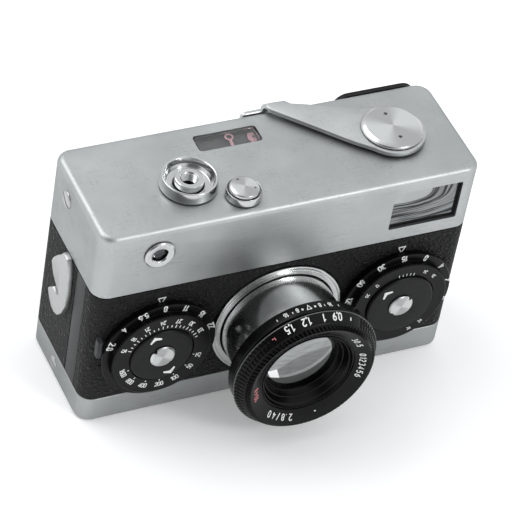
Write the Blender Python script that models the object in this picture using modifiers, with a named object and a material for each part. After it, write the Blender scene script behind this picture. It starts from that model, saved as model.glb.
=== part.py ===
"""Compact 35 mm viewfinder camera with a collapsible lens, as an assembly of separate pieces.

Frame: +X to the right of someone facing the lens, -Y out of the lens, +Z up. The origin is the middle of
the base plate's underside. Sizes are in metres, written as millimetres times MM.
"""
import math

import bmesh
import bpy
from mathutils import Vector

MM = 0.001

# Driving dimensions of the body
BODY_WIDTH = 97.0 * MM
BODY_DEPTH = 32.0 * MM
COVER_TOP = 60.0 * MM            # upper face of the top cover
COVER_BOTTOM = 41.2 * MM         # lower edge of the top cover
TRAY_TOP = 7.36 * MM             # upper edge of the base tray
CORNER_RADIUS = 3.9 * MM         # upright corners seen from above
EDGE_RADIUS = 1.8 * MM           # rounded upper edge of the top cover
GAP = 0.3 * MM                   # clearance between neighbouring pieces
LEATHER = 0.8 * MM               # thickness of the leather covering
SHEET = 0.9 * MM                 # wall of the drawn metal covers

HALF_W = BODY_WIDTH / 2
HALF_D = BODY_DEPTH / 2

# Joint axes
LENS_Z = 22.6 * MM
DIAL_Z = 22.8 * MM
APERTURE_X = -31.3 * MM
SPEED_X = 31.1 * MM
RELEASE = Vector((-22.5, -3.4, 0.0)) * MM
LENS_LOCK = Vector((-11.45, -10.0, 0.0)) * MM
WIND = Vector((31.4, 0.0, 0.0)) * MM
SPROCKET = Vector((24.0, 4.18, 0.0)) * MM
SPOOL = Vector((37.7, 0.6, 0.0)) * MM
REWIND = Vector((-31.0, 0.5, 0.0)) * MM
COUNTER = Vector((-1.5, 7.0, 0.0)) * MM
BACK_LOCK = Vector((39.0, 0.0, 0.0)) * MM
TRIPOD = Vector((-10.5, -4.0, 0.0)) * MM
SHOE_X = 19.0 * MM
METER_PIVOT = Vector((-4.5, 2.0, 0.0)) * MM
BATTERY = Vector((9.0, -4.5, 0.0)) * MM

# Lens, as distances in front of the body's middle plane
TUBE_RADIUS = 14.5 * MM

# Segments of the turned pieces
FINE = 44
MEDIUM = 28
SMALL = 16


# ---------------------------------------------------------------- tools

def clear_scene():
    for old in list(bpy.data.objects):
        bpy.data.objects.remove(old, do_unlink=True)


def make_collection(name):
    collection = bpy.data.collections.new(name)
    bpy.context.scene.collection.children.link(collection)
    return collection


def make_material(name, colour, roughness, metallic):
    material = bpy.data.materials.new(name)
    material.use_nodes = True
    shader = material.node_tree.nodes["Principled BSDF"]
    shader.inputs["Base Color"].default_value = (*colour, 1.0)
    shader.inputs["Roughness"].default_value = roughness
    shader.inputs["Metallic"].default_value = metallic
    return material


def add_object(name, mesh, material=None, collection=None, location=(0, 0, 0)):
    piece = bpy.data.objects.new(name, mesh)
    piece.location = location
    (collection or PARTS).objects.link(piece)
    if material:
        mesh.materials.append(material)
    return piece


def add_axis(name, location, parent=None):
    """An empty that stands on a joint's axis and carries the moving pieces."""
    empty = bpy.data.objects.new(name, None)
    empty.empty_display_size = 5 * MM
    PARTS.objects.link(empty)
    hang(empty, parent, location)
    return empty


def hang(piece, parent, world):
    """Parent a piece to an unturned empty, with its origin at a world place."""
    piece.parent = parent
    origin = parent_place(parent)
    piece.location = Vector(world) - origin


def parent_place(parent):
    place = Vector((0, 0, 0))
    while parent:
        place += parent.location
        parent = parent.parent
    return place


def finish(piece, axis, smooth=True):
    """Shade a piece and hang it on its axis without moving it."""
    world = piece.location.copy()
    hang(piece, axis, world)
    if smooth:
        piece.data.shade_smooth()
        piece.data.set_sharp_from_angle(angle=math.radians(35))
    return piece


def box_mesh(name, low, high, plan_radius=0.0, top_radius=0.0, bottom_radius=0.0, steps=4):
    """A block round its own centre, with rounded upright, upper and lower edges."""
    size = Vector(high) - Vector(low)
    shape = bmesh.new()
    bmesh.ops.create_cube(shape, size=1.0)
    bmesh.ops.scale(shape, vec=size, verts=shape.verts)

    def round_edges(choose, radius, count):
        edges = [edge for edge in shape.edges if choose(edge)]
        bmesh.ops.bevel(shape, geom=edges, offset=radius, segments=count, affect='EDGES', profile=0.5)

    def level(edge, height):
        return all(abs(vert.co.z - height) < 1e-7 for vert in edge.verts)

    if plan_radius:
        round_edges(lambda edge: abs(edge.verts[0].co.z - edge.verts[1].co.z) > size.z / 2, plan_radius, steps)
    if top_radius:
        round_edges(lambda edge: level(edge, size.z / 2), top_radius, 3)
    if bottom_radius:
        round_edges(lambda edge: level(edge, -size.z / 2), bottom_radius, 2)
    mesh = bpy.data.meshes.new(name)
    shape.to_mesh(mesh)
    shape.free()
    return mesh


def block(name, low, high, material, collection=None, **rounding):
    """A block given by its lowest and highest corners."""
    centre = (Vector(low) + Vector(high)) / 2
    return add_object(name, box_mesh(name, low, high, **rounding), material, collection, centre)


def turned(name, profile, centre, material, axis='Z', steps=MEDIUM, closed=True, collection=None):
    """A lathe shape: (radius, height) points, outer side from top to bottom, turned round local Z.

    A profile that ends on the axis is left open there. With axis 'Y' the height points out of the
    lens, towards -Y.
    """
    mesh = bpy.data.meshes.new(name)
    points = [(radius, 0.0, height) for radius, height in profile]
    edges = [(index, index + 1) for index in range(len(points) - 1)]
    if closed:
        edges.append((len(points) - 1, 0))
    mesh.from_pydata(points, edges, [])
    piece = add_object(name, mesh, material, collection, centre)
    if axis == 'Y':
        piece.rotation_euler = (math.pi / 2, 0, 0)
    if axis == 'X':
        piece.rotation_euler = (0, math.pi / 2, 0)
    screw = piece.modifiers.new("turn", 'SCREW')
    screw.axis = 'Z'
    screw.angle = 2 * math.pi
    screw.steps = steps
    screw.render_steps = steps
    screw.use_merge_vertices = True
    screw.merge_threshold = 0.000001
    screw.use_smooth_shade = True
    return piece


def ring(inner, outer, top, bottom):
    """The profile of a plain ring."""
    return [(outer, top), (outer, bottom), (inner, bottom), (inner, top)]


def disc(radius, top, bottom, edge=0.0):
    """The profile of a solid disc, with a chamfered upper edge."""
    if edge:
        return [(0, top), (radius - edge, top), (radius, top - edge), (radius, bottom), (0, bottom)]
    return [(0, top), (radius, top), (radius, bottom), (0, bottom)]


def cut(piece, cutter, operation='DIFFERENCE'):
    """Take a cutter out of a piece, or join it on."""
    cutter.hide_render = True
    cutter.display_type = 'WIRE'
    boolean = piece.modifiers.new(cutter.name, 'BOOLEAN')
    boolean.operation = operation
    boolean.solver = 'EXACT'
    boolean.object = cutter
    return piece


def cut_box(piece, name, low, high, **rounding):
    return cut(piece, block(name, low, high, None, CUTTERS, **rounding))


def cut_round(piece, name, centre, radius, low, high, axis='Z', steps=MEDIUM):
    tool = turned(name, disc(radius, high, low), centre, None, axis, steps, False, CUTTERS)
    return cut(piece, tool)


def join_box(piece, name, low, high, **rounding):
    return cut(piece, block(name, low, high, None, CUTTERS, **rounding), 'UNION')


def plate(name, outline, low, high, material, plane='XY', collection=None):
    """A flat plate from an outline in world XY, or in world YZ, between two heights."""
    curve = bpy.data.curves.new(name + "_outline", 'CURVE')
    curve.dimensions = '2D'
    curve.fill_mode = 'BOTH'
    curve.extrude = (high - low) / 2
    spline = curve.splines.new('POLY')
    spline.points.add(len(outline) - 1)
    for point, (across, along) in zip(spline.points, outline):
        point.co = (across, along, 0, 1)
    spline.use_cyclic_u = True
    guide = bpy.data.objects.new(name + "_outline", curve)
    (collection or PARTS).objects.link(guide)
    if plane == 'XY':
        guide.location = (0, 0, (low + high) / 2)
    else:
        guide.rotation_euler = (math.pi / 2, 0, math.pi / 2)
        guide.location = ((low + high) / 2, 0, 0)
    return curve_to_mesh(name, guide, material, collection)


def curve_to_mesh(name, guide, material, collection=None):
    """Turn a curve object into a welded mesh object in the same place."""
    bpy.context.view_layer.update()
    depsgraph = bpy.context.evaluated_depsgraph_get()
    mesh = bpy.data.meshes.new_from_object(guide.evaluated_get(depsgraph))
    mesh.name = name
    shape = bmesh.new()
    shape.from_mesh(mesh)
    bmesh.ops.remove_doubles(shape, verts=shape.verts, dist=0.000002)
    bmesh.ops.recalc_face_normals(shape, faces=shape.faces)
    shape.to_mesh(mesh)
    shape.free()
    mesh.materials.clear()
    piece = add_object(name, mesh, material, collection)
    piece.matrix_world = guide.matrix_world.copy()
    bpy.data.objects.remove(guide, do_unlink=True)
    return piece


def arc(centre, radius, start, end, count):
    """Points on an arc, angles in degrees."""
    angles = [math.radians(start + (end - start) * step / (count - 1)) for step in range(count)]
    return [(centre[0] + radius * math.cos(turn), centre[1] + radius * math.sin(turn)) for turn in angles]


def gear_outline(centre, teeth, module, first):
    """Trapezoid teeth round a centre; first is the direction of one tooth's middle, in degrees."""
    pitch_radius = teeth * module / 2
    tip, root = pitch_radius + 0.6 * module, pitch_radius - 0.9 * module
    step = 360 / teeth
    points = []
    for tooth in range(teeth):
        middle = first + tooth * step
        for radius, offset in ((root, -0.24), (tip, -0.11), (tip, 0.11), (root, 0.24)):
            turn = math.radians(middle + offset * step)
            points.append((centre.x + radius * math.cos(turn), centre.y + radius * math.sin(turn)))
    return points


clear_scene()
PARTS = make_collection("viewfinder_camera")
CUTTERS = make_collection("cutters")

SATIN = make_material("satin_metal", (0.66, 0.67, 0.67), 0.34, 1.0)
POLISHED = make_material("polished_metal", (0.78, 0.78, 0.77), 0.10, 1.0)
STEEL = make_material("steel", (0.52, 0.52, 0.51), 0.35, 1.0)
BLACK_PAINT = make_material("black_paint", (0.016, 0.016, 0.017), 0.42, 0.0)
BLACK_ALLOY = make_material("black_alloy", (0.020, 0.020, 0.021), 0.36, 0.6)
LEATHERETTE = make_material("leatherette", (0.018, 0.018, 0.019), 0.55, 0.0)
GLASS = make_material("glass", (0.70, 0.76, 0.78), 0.04, 0.0)
BLACK_PLASTIC = make_material("black_plastic", (0.022, 0.022, 0.023), 0.45, 0.0)
RED = make_material("red_paint", (0.60, 0.12, 0.15), 0.45, 0.0)
BRASS = make_material("brass", (0.66, 0.48, 0.22), 0.30, 1.0)

SHELL_AXIS = add_axis("back_shell_axis", (0, 0, 0))
CAMERA_AXIS = add_axis("camera_axis", (0, 0, 0), SHELL_AXIS)


# ---------------------------------------------------------------- removable back shell

def base_tray():
    """Drawn silver tray that wraps the foot of the body."""
    tray = block("base_tray", (-HALF_W, -HALF_D, 0), (HALF_W, HALF_D, TRAY_TOP), SATIN,
                 plan_radius=CORNER_RADIUS, bottom_radius=1.0 * MM, steps=5)
    cut_box(tray, "tray_inside", (-HALF_W + SHEET, -HALF_D + SHEET, 1.2 * MM),
            (HALF_W - SHEET, HALF_D - SHEET, 12 * MM), plan_radius=CORNER_RADIUS - SHEET, steps=5)
    cut_round(tray, "tray_crank_hole", REWIND, 9.4 * MM, -2 * MM, 3 * MM)
    cut_round(tray, "tray_tripod_hole", TRIPOD, 5.5 * MM, -2 * MM, 3 * MM)
    cut_round(tray, "tray_lock_hole", BACK_LOCK, 5.0 * MM, -2 * MM, 3 * MM)
    cut_box(tray, "tray_shoe_notch", (SHOE_X - 11.3 * MM, -10.5 * MM, -2 * MM),
            (SHOE_X + 11.3 * MM, HALF_D + 2 * MM, 3.6 * MM))
    cut_box(tray, "tray_counter_window", (COUNTER.x - 2.2 * MM, 9.2 * MM, -2 * MM),
            (COUNTER.x + 2.2 * MM, 11.8 * MM, 3 * MM))
    cut_round(tray, "tray_flange_notch", (0, 0, LENS_Z), 17.4 * MM, 13 * MM, 18 * MM, 'Y', FINE)
    finish(tray, SHELL_AXIS)


def wrap(name, outer, thickness, low_z, high_z, front_y, material):
    """A wall that runs along both sides and the back, open to the front."""
    wall = block(name, (-outer.x, -HALF_D, low_z), (outer.x, outer.y, high_z), material,
                 plan_radius=CORNER_RADIUS - (HALF_W - outer.x), steps=5)
    cut_box(wall, name + "_inside", (-outer.x + thickness, -HALF_D - 5 * MM, low_z - 5 * MM),
            (outer.x - thickness, outer.y - thickness, high_z + 5 * MM),
            plan_radius=CORNER_RADIUS - (HALF_W - outer.x) - thickness, steps=5)
    cut_box(wall, name + "_front", (-HALF_W - 5 * MM, -HALF_D - 6 * MM, low_z - 5 * MM),
            (HALF_W + 5 * MM, front_y, high_z + 5 * MM))
    return wall


def back_shell():
    panel_outer = Vector((HALF_W - LEATHER - 0.4 * MM, HALF_D - LEATHER - 0.4 * MM, 0))
    panel = wrap("back_panel", panel_outer, 1.0 * MM, 4.4 * MM, 40.9 * MM, -4.7 * MM, BLACK_PAINT)
    finish(panel, SHELL_AXIS)
    leather_outer = Vector((HALF_W, HALF_D, 0))
    leather = wrap("back_leather", leather_outer, LEATHER, TRAY_TOP + GAP, 40.9 * MM, -4.7 * MM, LEATHERETTE)
    cut_box(leather, "lug_seat", (-HALF_W - MM, -0.5 * MM, 22.5 * MM), (-HALF_W + 2 * MM, 4.5 * MM, 37 * MM))
    finish(leather, SHELL_AXIS)


def strap_lug():
    """Oval hook plate on the left side, with a slot that opens to the rear."""
    outer_x = -HALF_W - 0.35 * MM
    hook = [(5.6, 21.6), (6.6, 22.9), (7.1, 24.2), (6.6, 24.9), (5.2, 26.2), (3.6, 26.8), (2.4, 26.4), (1.5, 27.2),
            (2.2, 28.4), (5.4, 30.4), (7.0, 33.2), (6.3, 35.0), (4.4, 37.4), (2.2, 39.9), (0.9, 41.0), (-1.2, 41.0),
            (-2.3, 39.6), (-2.9, 36.5), (-3.2, 31.3), (-2.8, 27.2), (-1.5, 23.5), (0.6, 21.0), (3.4, 20.2)]
    outline = [(along * MM, up * MM) for along, up in hook]
    lug = plate("strap_lug", outline, outer_x - 1.25 * MM, outer_x, BRASS, 'YZ')
    join_box(lug, "lug_stud", (-HALF_W + 0.45 * MM, -0.1 * MM, 29 * MM), (outer_x - 0.5 * MM, 3.4 * MM, 36.5 * MM))
    lug.data.materials.clear()
    lug.data.materials.append(SATIN)
    finish(lug, SHELL_AXIS)


def shell_fittings():
    """Screws on the tray's sides, the tripod bush and the key that locks the back."""
    for side, name in ((-1, "base_screw_left"), (1, "base_screw_right")):
        centre = (side * (HALF_W + 0.3 * MM), 1.5 * MM, 3.5 * MM)
        head = turned(name, disc(1.7 * MM, 0.4 * MM, 0, 0.12 * MM), centre, STEEL, 'X', SMALL, False)
        head.rotation_euler = (0, side * math.pi / 2, 0)
        finish(head, SHELL_AXIS, False)
    bush = turned("tripod_bush", ring(3.1 * MM, 5.2 * MM, 5.2 * MM, 0), TRIPOD, STEEL)
    finish(bush, SHELL_AXIS, False)

    lock_axis = add_axis("lock_key_axis", BACK_LOCK, SHELL_AXIS)
    key = turned("lock_key", [(0, 2.2 * MM), (1.4 * MM, 2.2 * MM), (1.4 * MM, 1.1 * MM), (4.7 * MM, 1.1 * MM),
                              (4.7 * MM, 0.3 * MM), (0, 0.3 * MM)], BACK_LOCK, STEEL, closed=False)
    cut_box(key, "key_groove", BACK_LOCK + Vector((-6, -0.6, 0)) * MM, BACK_LOCK + Vector((6, 0.6, 0.75)) * MM)
    finish(key, lock_axis, False)
    cam = block("lock_cam", BACK_LOCK + Vector((-2.0, -1.6, 2.5)) * MM, BACK_LOCK + Vector((5.6, 1.6, 3.5)) * MM,
                STEEL, plan_radius=1.0 * MM, steps=3)
    finish(cam, lock_axis, False)


# ---------------------------------------------------------------- body

def body_casting():
    """Die-cast chassis: a tall cassette chamber, a light box and a take-up chamber."""
    side = HALF_W - LEATHER - 0.4 * MM
    front, rear = -14.8 * MM, 13.4 * MM
    casting = block("body_casting", (-side, front, 4.2 * MM), (side, rear, 40.9 * MM), BLACK_PAINT,
                    plan_radius=5.6 * MM, steps=4)
    join_box(casting, "cassette_tower", (-46.0 * MM, -13.8 * MM, 2.7 * MM), (-18.0 * MM, rear, 47.0 * MM),
             plan_radius=5.6 * MM, steps=4)
    for sign, label in ((-1, "left"), (1, "right")):
        near, far = sign * 46.0 * MM, sign * 50.0 * MM
        cut_box(casting, "casting_step_" + label, (min(near, far), -5.0 * MM, 0), (max(near, far), 20 * MM, 50 * MM))
    cut_box(casting, "cassette_chamber", (-45.1 * MM, -12.7 * MM, 3.4 * MM), (-19.0 * MM, 25 * MM, 46.2 * MM),
            plan_radius=2.0 * MM, steps=2)
    cut_round(casting, "rewind_bearing", REWIND, 3.5 * MM, 0, 6 * MM, 'Z', SMALL)
    cut_box(casting, "take_up_chamber", (18.9 * MM, -12.6 * MM, 5.6 * MM), (45.1 * MM, 25 * MM, 39.6 * MM),
            plan_radius=2.0 * MM, steps=2)
    cut_box(casting, "light_box", (-17.4 * MM, -13.2 * MM, 6.8 * MM), (17.4 * MM, 7.8 * MM, 38.6 * MM))
    cut_box(casting, "film_window", (-18.0 * MM, 5 * MM, 10.6 * MM), (18.0 * MM, 11 * MM, 34.6 * MM))
    cut_box(casting, "film_channel", (-19.5 * MM, 9.3 * MM, 4.9 * MM), (19.5 * MM, 20 * MM, 40.2 * MM))
    cut_round(casting, "lens_hole", (0, 0, LENS_Z), TUBE_RADIUS + GAP, 11 * MM, 17 * MM, 'Y', FINE)
    for place, label in ((APERTURE_X, "aperture"), (SPEED_X, "speed")):
        cut_round(casting, label + "_hub_hole", (place, 0, DIAL_Z), 2.4 * MM, 11 * MM, 17 * MM, 'Y', SMALL)
    cut_round(casting, "sprocket_bearing", SPROCKET, 1.5 * MM, 38 * MM, 43 * MM, 'Z', SMALL)
    cut_round(casting, "spool_bearing", SPOOL, 1.5 * MM, 38 * MM, 43 * MM, 'Z', SMALL)
    cut_box(casting, "bush_relief", TRIPOD + Vector((-6, -6, 0)) * MM, TRIPOD + Vector((6, 6, 5.6)) * MM)
    finish(casting, CAMERA_AXIS)


def film_track():
    """Polished film rails and the pressure plate."""
    rails = block("film_rails", (-19.0 * MM, 9.6 * MM, 5.3 * MM), (19.0 * MM, 10.3 * MM, 39.9 * MM), STEEL)
    cut_box(rails, "film_aperture", (-18.2 * MM, 8 * MM, 10.4 * MM), (18.2 * MM, 12 * MM, 34.8 * MM))
    finish(rails, CAMERA_AXIS, False)
    plate_axis = add_axis("pressure_plate_axis", (0, 11.0 * MM, LENS_Z), CAMERA_AXIS)
    pressure = block("pressure_plate", (-18.8 * MM, 11.2 * MM, 7.2 * MM), (18.8 * MM, 12.0 * MM, 38.0 * MM),
                     BLACK_ALLOY)
    finish(pressure, plate_axis, False)


def front_leather():
    """Leather over the front, wrapped round both corners."""
    outer_y = HALF_D - 0.1 * MM
    leather = block("front_leather", (-HALF_W, -outer_y, TRAY_TOP + GAP), (HALF_W, HALF_D, 40.9 * MM), LEATHERETTE,
                    plan_radius=CORNER_RADIUS, steps=5)
    cut_box(leather, "front_leather_inside", (-HALF_W + LEATHER, -outer_y + LEATHER, 0),
            (HALF_W - LEATHER, 30 * MM, 60 * MM), plan_radius=CORNER_RADIUS - LEATHER, steps=5)
    cut_box(leather, "front_leather_rear", (-60 * MM, -10.2 * MM, 0), (60 * MM, 40 * MM, 60 * MM))
    cut_round(leather, "leather_flange_hole", (0, 0, LENS_Z), 17.25 * MM, 12 * MM, 20 * MM, 'Y', FINE)
    for place, label in ((APERTURE_X, "aperture"), (SPEED_X, "speed")):
        cut_round(leather, label + "_leather_hole", (place, 0, DIAL_Z), 4.2 * MM, 12 * MM, 20 * MM, 'Y', SMALL)
    finish(leather, CAMERA_AXIS)


def top_cover():
    """Drawn silver cover with openings for the controls, the finder and the meter."""
    cover = block("top_cover", (-HALF_W, -HALF_D, COVER_BOTTOM), (HALF_W, HALF_D, COVER_TOP), SATIN,
                  plan_radius=CORNER_RADIUS, top_radius=EDGE_RADIUS, steps=6)
    cut_box(cover, "cover_inside", (-HALF_W + SHEET, -HALF_D + SHEET, 30 * MM),
            (HALF_W - SHEET, HALF_D - SHEET, COVER_TOP - SHEET), plan_radius=CORNER_RADIUS - SHEET,
            top_radius=EDGE_RADIUS - SHEET, steps=6)
    cut_round(cover, "release_hole", RELEASE, 3.9 * MM, 55 * MM, 65 * MM)
    cut_round(cover, "lens_lock_hole", LENS_LOCK, 2.2 * MM, 55 * MM, 65 * MM, 'Z', SMALL)
    cut_round(cover, "wind_hole", WIND, 3.3 * MM, 55 * MM, 65 * MM, 'Z', SMALL)
    cut_box(cover, "meter_opening", (-15.3 * MM, 6.45 * MM, 55 * MM), (0.85 * MM, 11.9 * MM, 65 * MM),
            plan_radius=0.8 * MM, steps=2)
    cut_box(cover, "finder_opening", (27.7 * MM, -20 * MM, 46.7 * MM), (43.9 * MM, -10 * MM, 57.2 * MM))
    cut_box(cover, "eyepiece_opening", (26.5 * MM, 10 * MM, 47.0 * MM), (42.0 * MM, 20 * MM, 57.0 * MM))
    cut_round(cover, "cell_hole", (-33.9 * MM, 0, 52.7 * MM), 2.6 * MM, 12 * MM, 20 * MM, 'Y', SMALL)
    finish(cover, CAMERA_AXIS)
    for side, name in ((-1, "cover_screw_left"), (1, "cover_screw_right")):
        centre = (side * (HALF_W + 0.3 * MM), 5.25 * MM, 54.1 * MM)
        head = turned(name, disc(2.0 * MM, 0.4 * MM, 0, 0.12 * MM), centre, STEEL, 'X', SMALL, False)
        head.rotation_euler = (0, side * math.pi / 2, 0)
        finish(head, CAMERA_AXIS, False)


def finder():
    """Viewfinder: front frame and lens, tunnel, eyepiece lens and eyepiece frame."""
    frame = block("finder_frame", (28.0 * MM, -15.6 * MM, 47.0 * MM), (43.6 * MM, -13.2 * MM, 56.9 * MM), BLACK_PAINT)
    cut_box(frame, "finder_frame_hole", (28.6 * MM, -20 * MM, 48.4 * MM), (42.2 * MM, -10 * MM, 56.3 * MM))
    finish(frame, CAMERA_AXIS, False)
    front = block("finder_front_lens", (28.2 * MM, -12.9 * MM, 47.4 * MM), (43.4 * MM, -11.4 * MM, 56.8 * MM), GLASS)
    finish(front, CAMERA_AXIS, False)
    tunnel = block("finder_tunnel", (27.2 * MM, -11.1 * MM, 46.4 * MM), (44.4 * MM, 12.6 * MM, 57.5 * MM), BLACK_PLASTIC)
    cut_box(tunnel, "finder_tunnel_hole", (28.2 * MM, -15 * MM, 47.4 * MM), (43.4 * MM, 20 * MM, 56.5 * MM))
    finish(tunnel, CAMERA_AXIS, False)
    rear = block("eyepiece_lens", (28.4 * MM, 12.9 * MM, 47.6 * MM), (43.2 * MM, 14.2 * MM, 56.4 * MM), GLASS)
    finish(rear, CAMERA_AXIS, False)
    eyepiece = block("eyepiece_frame", (24.2 * MM, HALF_D + GAP, 44.6 * MM), (45.8 * MM, HALF_D + 1.1 * MM, 59.4 * MM),
                     BLACK_PLASTIC)
    cut_box(eyepiece, "eyepiece_hole", (30.2 * MM, 12 * MM, 48.6 * MM), (39.8 * MM, 22 * MM, 55.6 * MM))
    finish(eyepiece, CAMERA_AXIS, False)


def light_meter():
    """Light cell in the front, movement, needles, window and battery."""
    cell = Vector((-33.9 * MM, 0, 52.7 * MM))
    bezel = turned("cell_bezel", ring(1.72 * MM, 3.8 * MM, 17.0 * MM, 16.3 * MM), cell, POLISHED, 'Y')
    finish(bezel, CAMERA_AXIS, False)
    sensor = turned("light_cell", disc(2.2 * MM, 15.9 * MM, 12.5 * MM), cell, GLASS, 'Y', SMALL, False)
    finish(sensor, CAMERA_AXIS, False)
    movement = block("meter_movement", (-14.5 * MM, -3.4 * MM, 49.0 * MM), (2.5 * MM, 6.0 * MM, 57.4 * MM), STEEL)
    finish(movement, CAMERA_AXIS, False)
    scale = block("meter_scale", (-15.6 * MM, 6.4 * MM, 56.9 * MM), (1.2 * MM, 12.2 * MM, 57.4 * MM), BLACK_PAINT)
    finish(scale, CAMERA_AXIS, False)
    window = block("meter_window", (-15.0 * MM, 6.75 * MM, 59.15 * MM), (0.55 * MM, 11.6 * MM, 59.7 * MM), GLASS,
                   plan_radius=0.6 * MM, steps=2)
    finish(window, CAMERA_AXIS, False)
    layers = (("meter_needle", 57.7 * MM, -14.0, 0.30 * MM), ("follower_needle", 58.3 * MM, 8.0, 0.55 * MM))
    for name, low, lean, half_width in layers:
        axis = add_axis(name + "_axis", METER_PIVOT, CAMERA_AXIS)
        reach = 8.6 * MM
        needle = block(name, METER_PIVOT + Vector((-half_width, -1.5 * MM, low)),
                       METER_PIVOT + Vector((half_width, reach, low + 0.3 * MM)), RED)
        turn = math.radians(lean)
        middle = needle.location - METER_PIVOT
        needle.rotation_euler = (0, 0, turn)
        spun = Vector((middle.x * math.cos(turn) - middle.y * math.sin(turn),
                       middle.x * math.sin(turn) + middle.y * math.cos(turn), middle.z))
        needle.location = METER_PIVOT + spun
        finish(needle, axis, False)
    battery = turned("battery", disc(7.8 * MM, 47.6 * MM, 41.8 * MM, 0.5 * MM), BATTERY, STEEL, closed=False)
    finish(battery, CAMERA_AXIS, False)


def shutter_release():
    """Dished collar, button with a cable socket, and the coil spring under the button."""
    cup = [(6.6, 63.1), (6.95, 62.2), (6.95, 60.3), (4.1, 60.3), (4.1, 61.0), (5.6, 61.7), (6.15, 63.1)]
    collar = turned("release_collar", [(r * MM, z * MM) for r, z in cup], RELEASE, POLISHED)
    finish(collar, CAMERA_AXIS, False)
    press = add_axis("release_axis", RELEASE, CAMERA_AXIS)
    outline = [(2.2, 62.4), (3.1, 62.4), (3.5, 62.0), (3.5, 58.4), (1.6, 58.4), (1.6, 49.4), (0, 49.4)]
    bottom_up = [(0, 59.6), (1.7, 59.6)]
    profile = [(r * MM, z * MM) for r, z in bottom_up + outline]
    button = turned("release_button", profile, RELEASE, POLISHED, steps=24, closed=False)
    finish(button, press, False)
    turns, per_turn, radius = 5, 10, 2.4 * MM
    low, high = 47.55 * MM, 57.85 * MM
    curve = bpy.data.curves.new("release_spring", 'CURVE')
    curve.dimensions = '3D'
    curve.bevel_depth = 0.25 * MM
    curve.bevel_resolution = 1
    curve.use_fill_caps = True
    coil = curve.splines.new('POLY')
    count = turns * per_turn
    coil.points.add(count)
    for index, point in enumerate(coil.points):
        turn = 2 * math.pi * index / per_turn
        height = low + (high - low) * index / count
        point.co = (radius * math.cos(turn), radius * math.sin(turn), height, 1)
    guide = bpy.data.objects.new("release_spring_guide", curve)
    guide.location = RELEASE
    PARTS.objects.link(guide)
    finish(curve_to_mesh("release_spring", guide, STEEL), press, False)


def lens_lock():
    """Button that frees the lens tube so that it can slide in."""
    collar = turned("lens_lock_collar", [(r * MM, z * MM) for r, z in
                                         ((4.15, 62.2), (4.35, 61.8), (4.35, 60.3), (4.0, 60.3), (4.0, 62.2))],
                    LENS_LOCK, POLISHED)
    finish(collar, CAMERA_AXIS, False)
    press = add_axis("lens_lock_axis", LENS_LOCK, CAMERA_AXIS)
    profile = [(0, 63.2), (3.3, 63.2), (3.68, 62.8), (3.68, 61.6), (1.7, 61.6), (1.7, 50.0), (0, 50.0)]
    button = turned("lens_lock_button", [(r * MM, z * MM) for r, z in profile], LENS_LOCK, SATIN, steps=24,
                    closed=False)
    finish(button, press, False)


# ---------------------------------------------------------------- film transport

def wind_lever():
    """Cranked sheet lever, its cap and shaft, and the first gear of the transport."""
    axis = add_axis("wind_axis", WIND, CAMERA_AXIS)
    boss_radius = 7.9 * MM
    boss = arc(WIND, boss_radius, 84, -136, 17)
    edge = [(18.7, 0.6), (12.0, 7.7), (6.0, 13.9), (5.4, 14.6), (5.4, 17.6), (10.2, 17.0), (11.6, 15.2),
            (14.7, 13.9), (19.0, 12.0), (24.5, 9.6)]
    outline = boss + [(x * MM, y * MM) for x, y in edge]
    lever = plate("wind_lever", outline, 60.9 * MM, 61.9 * MM, SATIN)
    cut_round(lever, "lever_bore", WIND, 2.9 * MM, 58 * MM, 65 * MM, 'Z', SMALL)
    join_box(lever, "lever_riser", (5.4 * MM, 16.4 * MM, 56.0 * MM), (6.6 * MM, 17.5 * MM, 61.5 * MM))
    join_box(lever, "thumb_tab", (-0.2 * MM, 16.4 * MM, 55.0 * MM), (6.2 * MM, 17.55 * MM, 59.6 * MM))
    finish(lever, axis, False)
    profile = [(0, 63.3), (6.7, 63.3), (7.58, 62.7), (7.58, 62.2), (2.6, 62.2), (2.6, 59.1), (0, 59.1)]
    cap = turned("lever_cap", [(r * MM, z * MM) for r, z in profile], WIND, SATIN, steps=FINE, closed=False)
    finish(cap, axis, False)

    toward = math.degrees(math.atan2(SPROCKET.y - WIND.y, SPROCKET.x - WIND.x))
    gear = plate("wind_gear", gear_outline(WIND, 25, 0.5 * MM, toward), 57.9 * MM, 58.8 * MM, BRASS)
    finish(gear, axis, False)

    drum_axis = add_axis("sprocket_axis", SPROCKET, CAMERA_AXIS)
    pinion = plate("sprocket_pinion", gear_outline(SPROCKET, 9, 0.5 * MM, toward + 180 + 20),
                   57.9 * MM, 58.8 * MM, BRASS, collection=CUTTERS)
    profile = [(0, 58.4), (1.2, 58.4), (1.2, 39.2), (4.9, 39.2), (4.9, 6.2), (0, 6.2)]
    drum = turned("sprocket_drum", [(r * MM, z * MM) for r, z in profile], SPROCKET, BLACK_ALLOY, steps=24,
                  closed=False)
    cut(drum, pinion, 'UNION')
    finish(drum, drum_axis, False)

    spool_axis = add_axis("spool_axis", SPOOL, CAMERA_AXIS)
    profile = [(0, 44.5), (1.2, 44.5), (1.2, 39.2), (6.4, 39.2), (6.4, 37.8), (4.6, 37.8), (4.6, 7.6), (6.4, 7.6),
               (6.4, 6.2), (0, 6.2)]
    spool = turned("take_up_spool", [(r * MM, z * MM) for r, z in profile], SPOOL, BLACK_PLASTIC, steps=24,
                   closed=False)
    finish(spool, spool_axis, False)

    counter_axis = add_axis("counter_axis", COUNTER, CAMERA_AXIS)
    counter = turned("frame_counter", disc(5.2 * MM, 2.6 * MM, 1.8 * MM), COUNTER, BLACK_PAINT, steps=MEDIUM,
                     closed=False)
    finish(counter, counter_axis, False)


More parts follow.
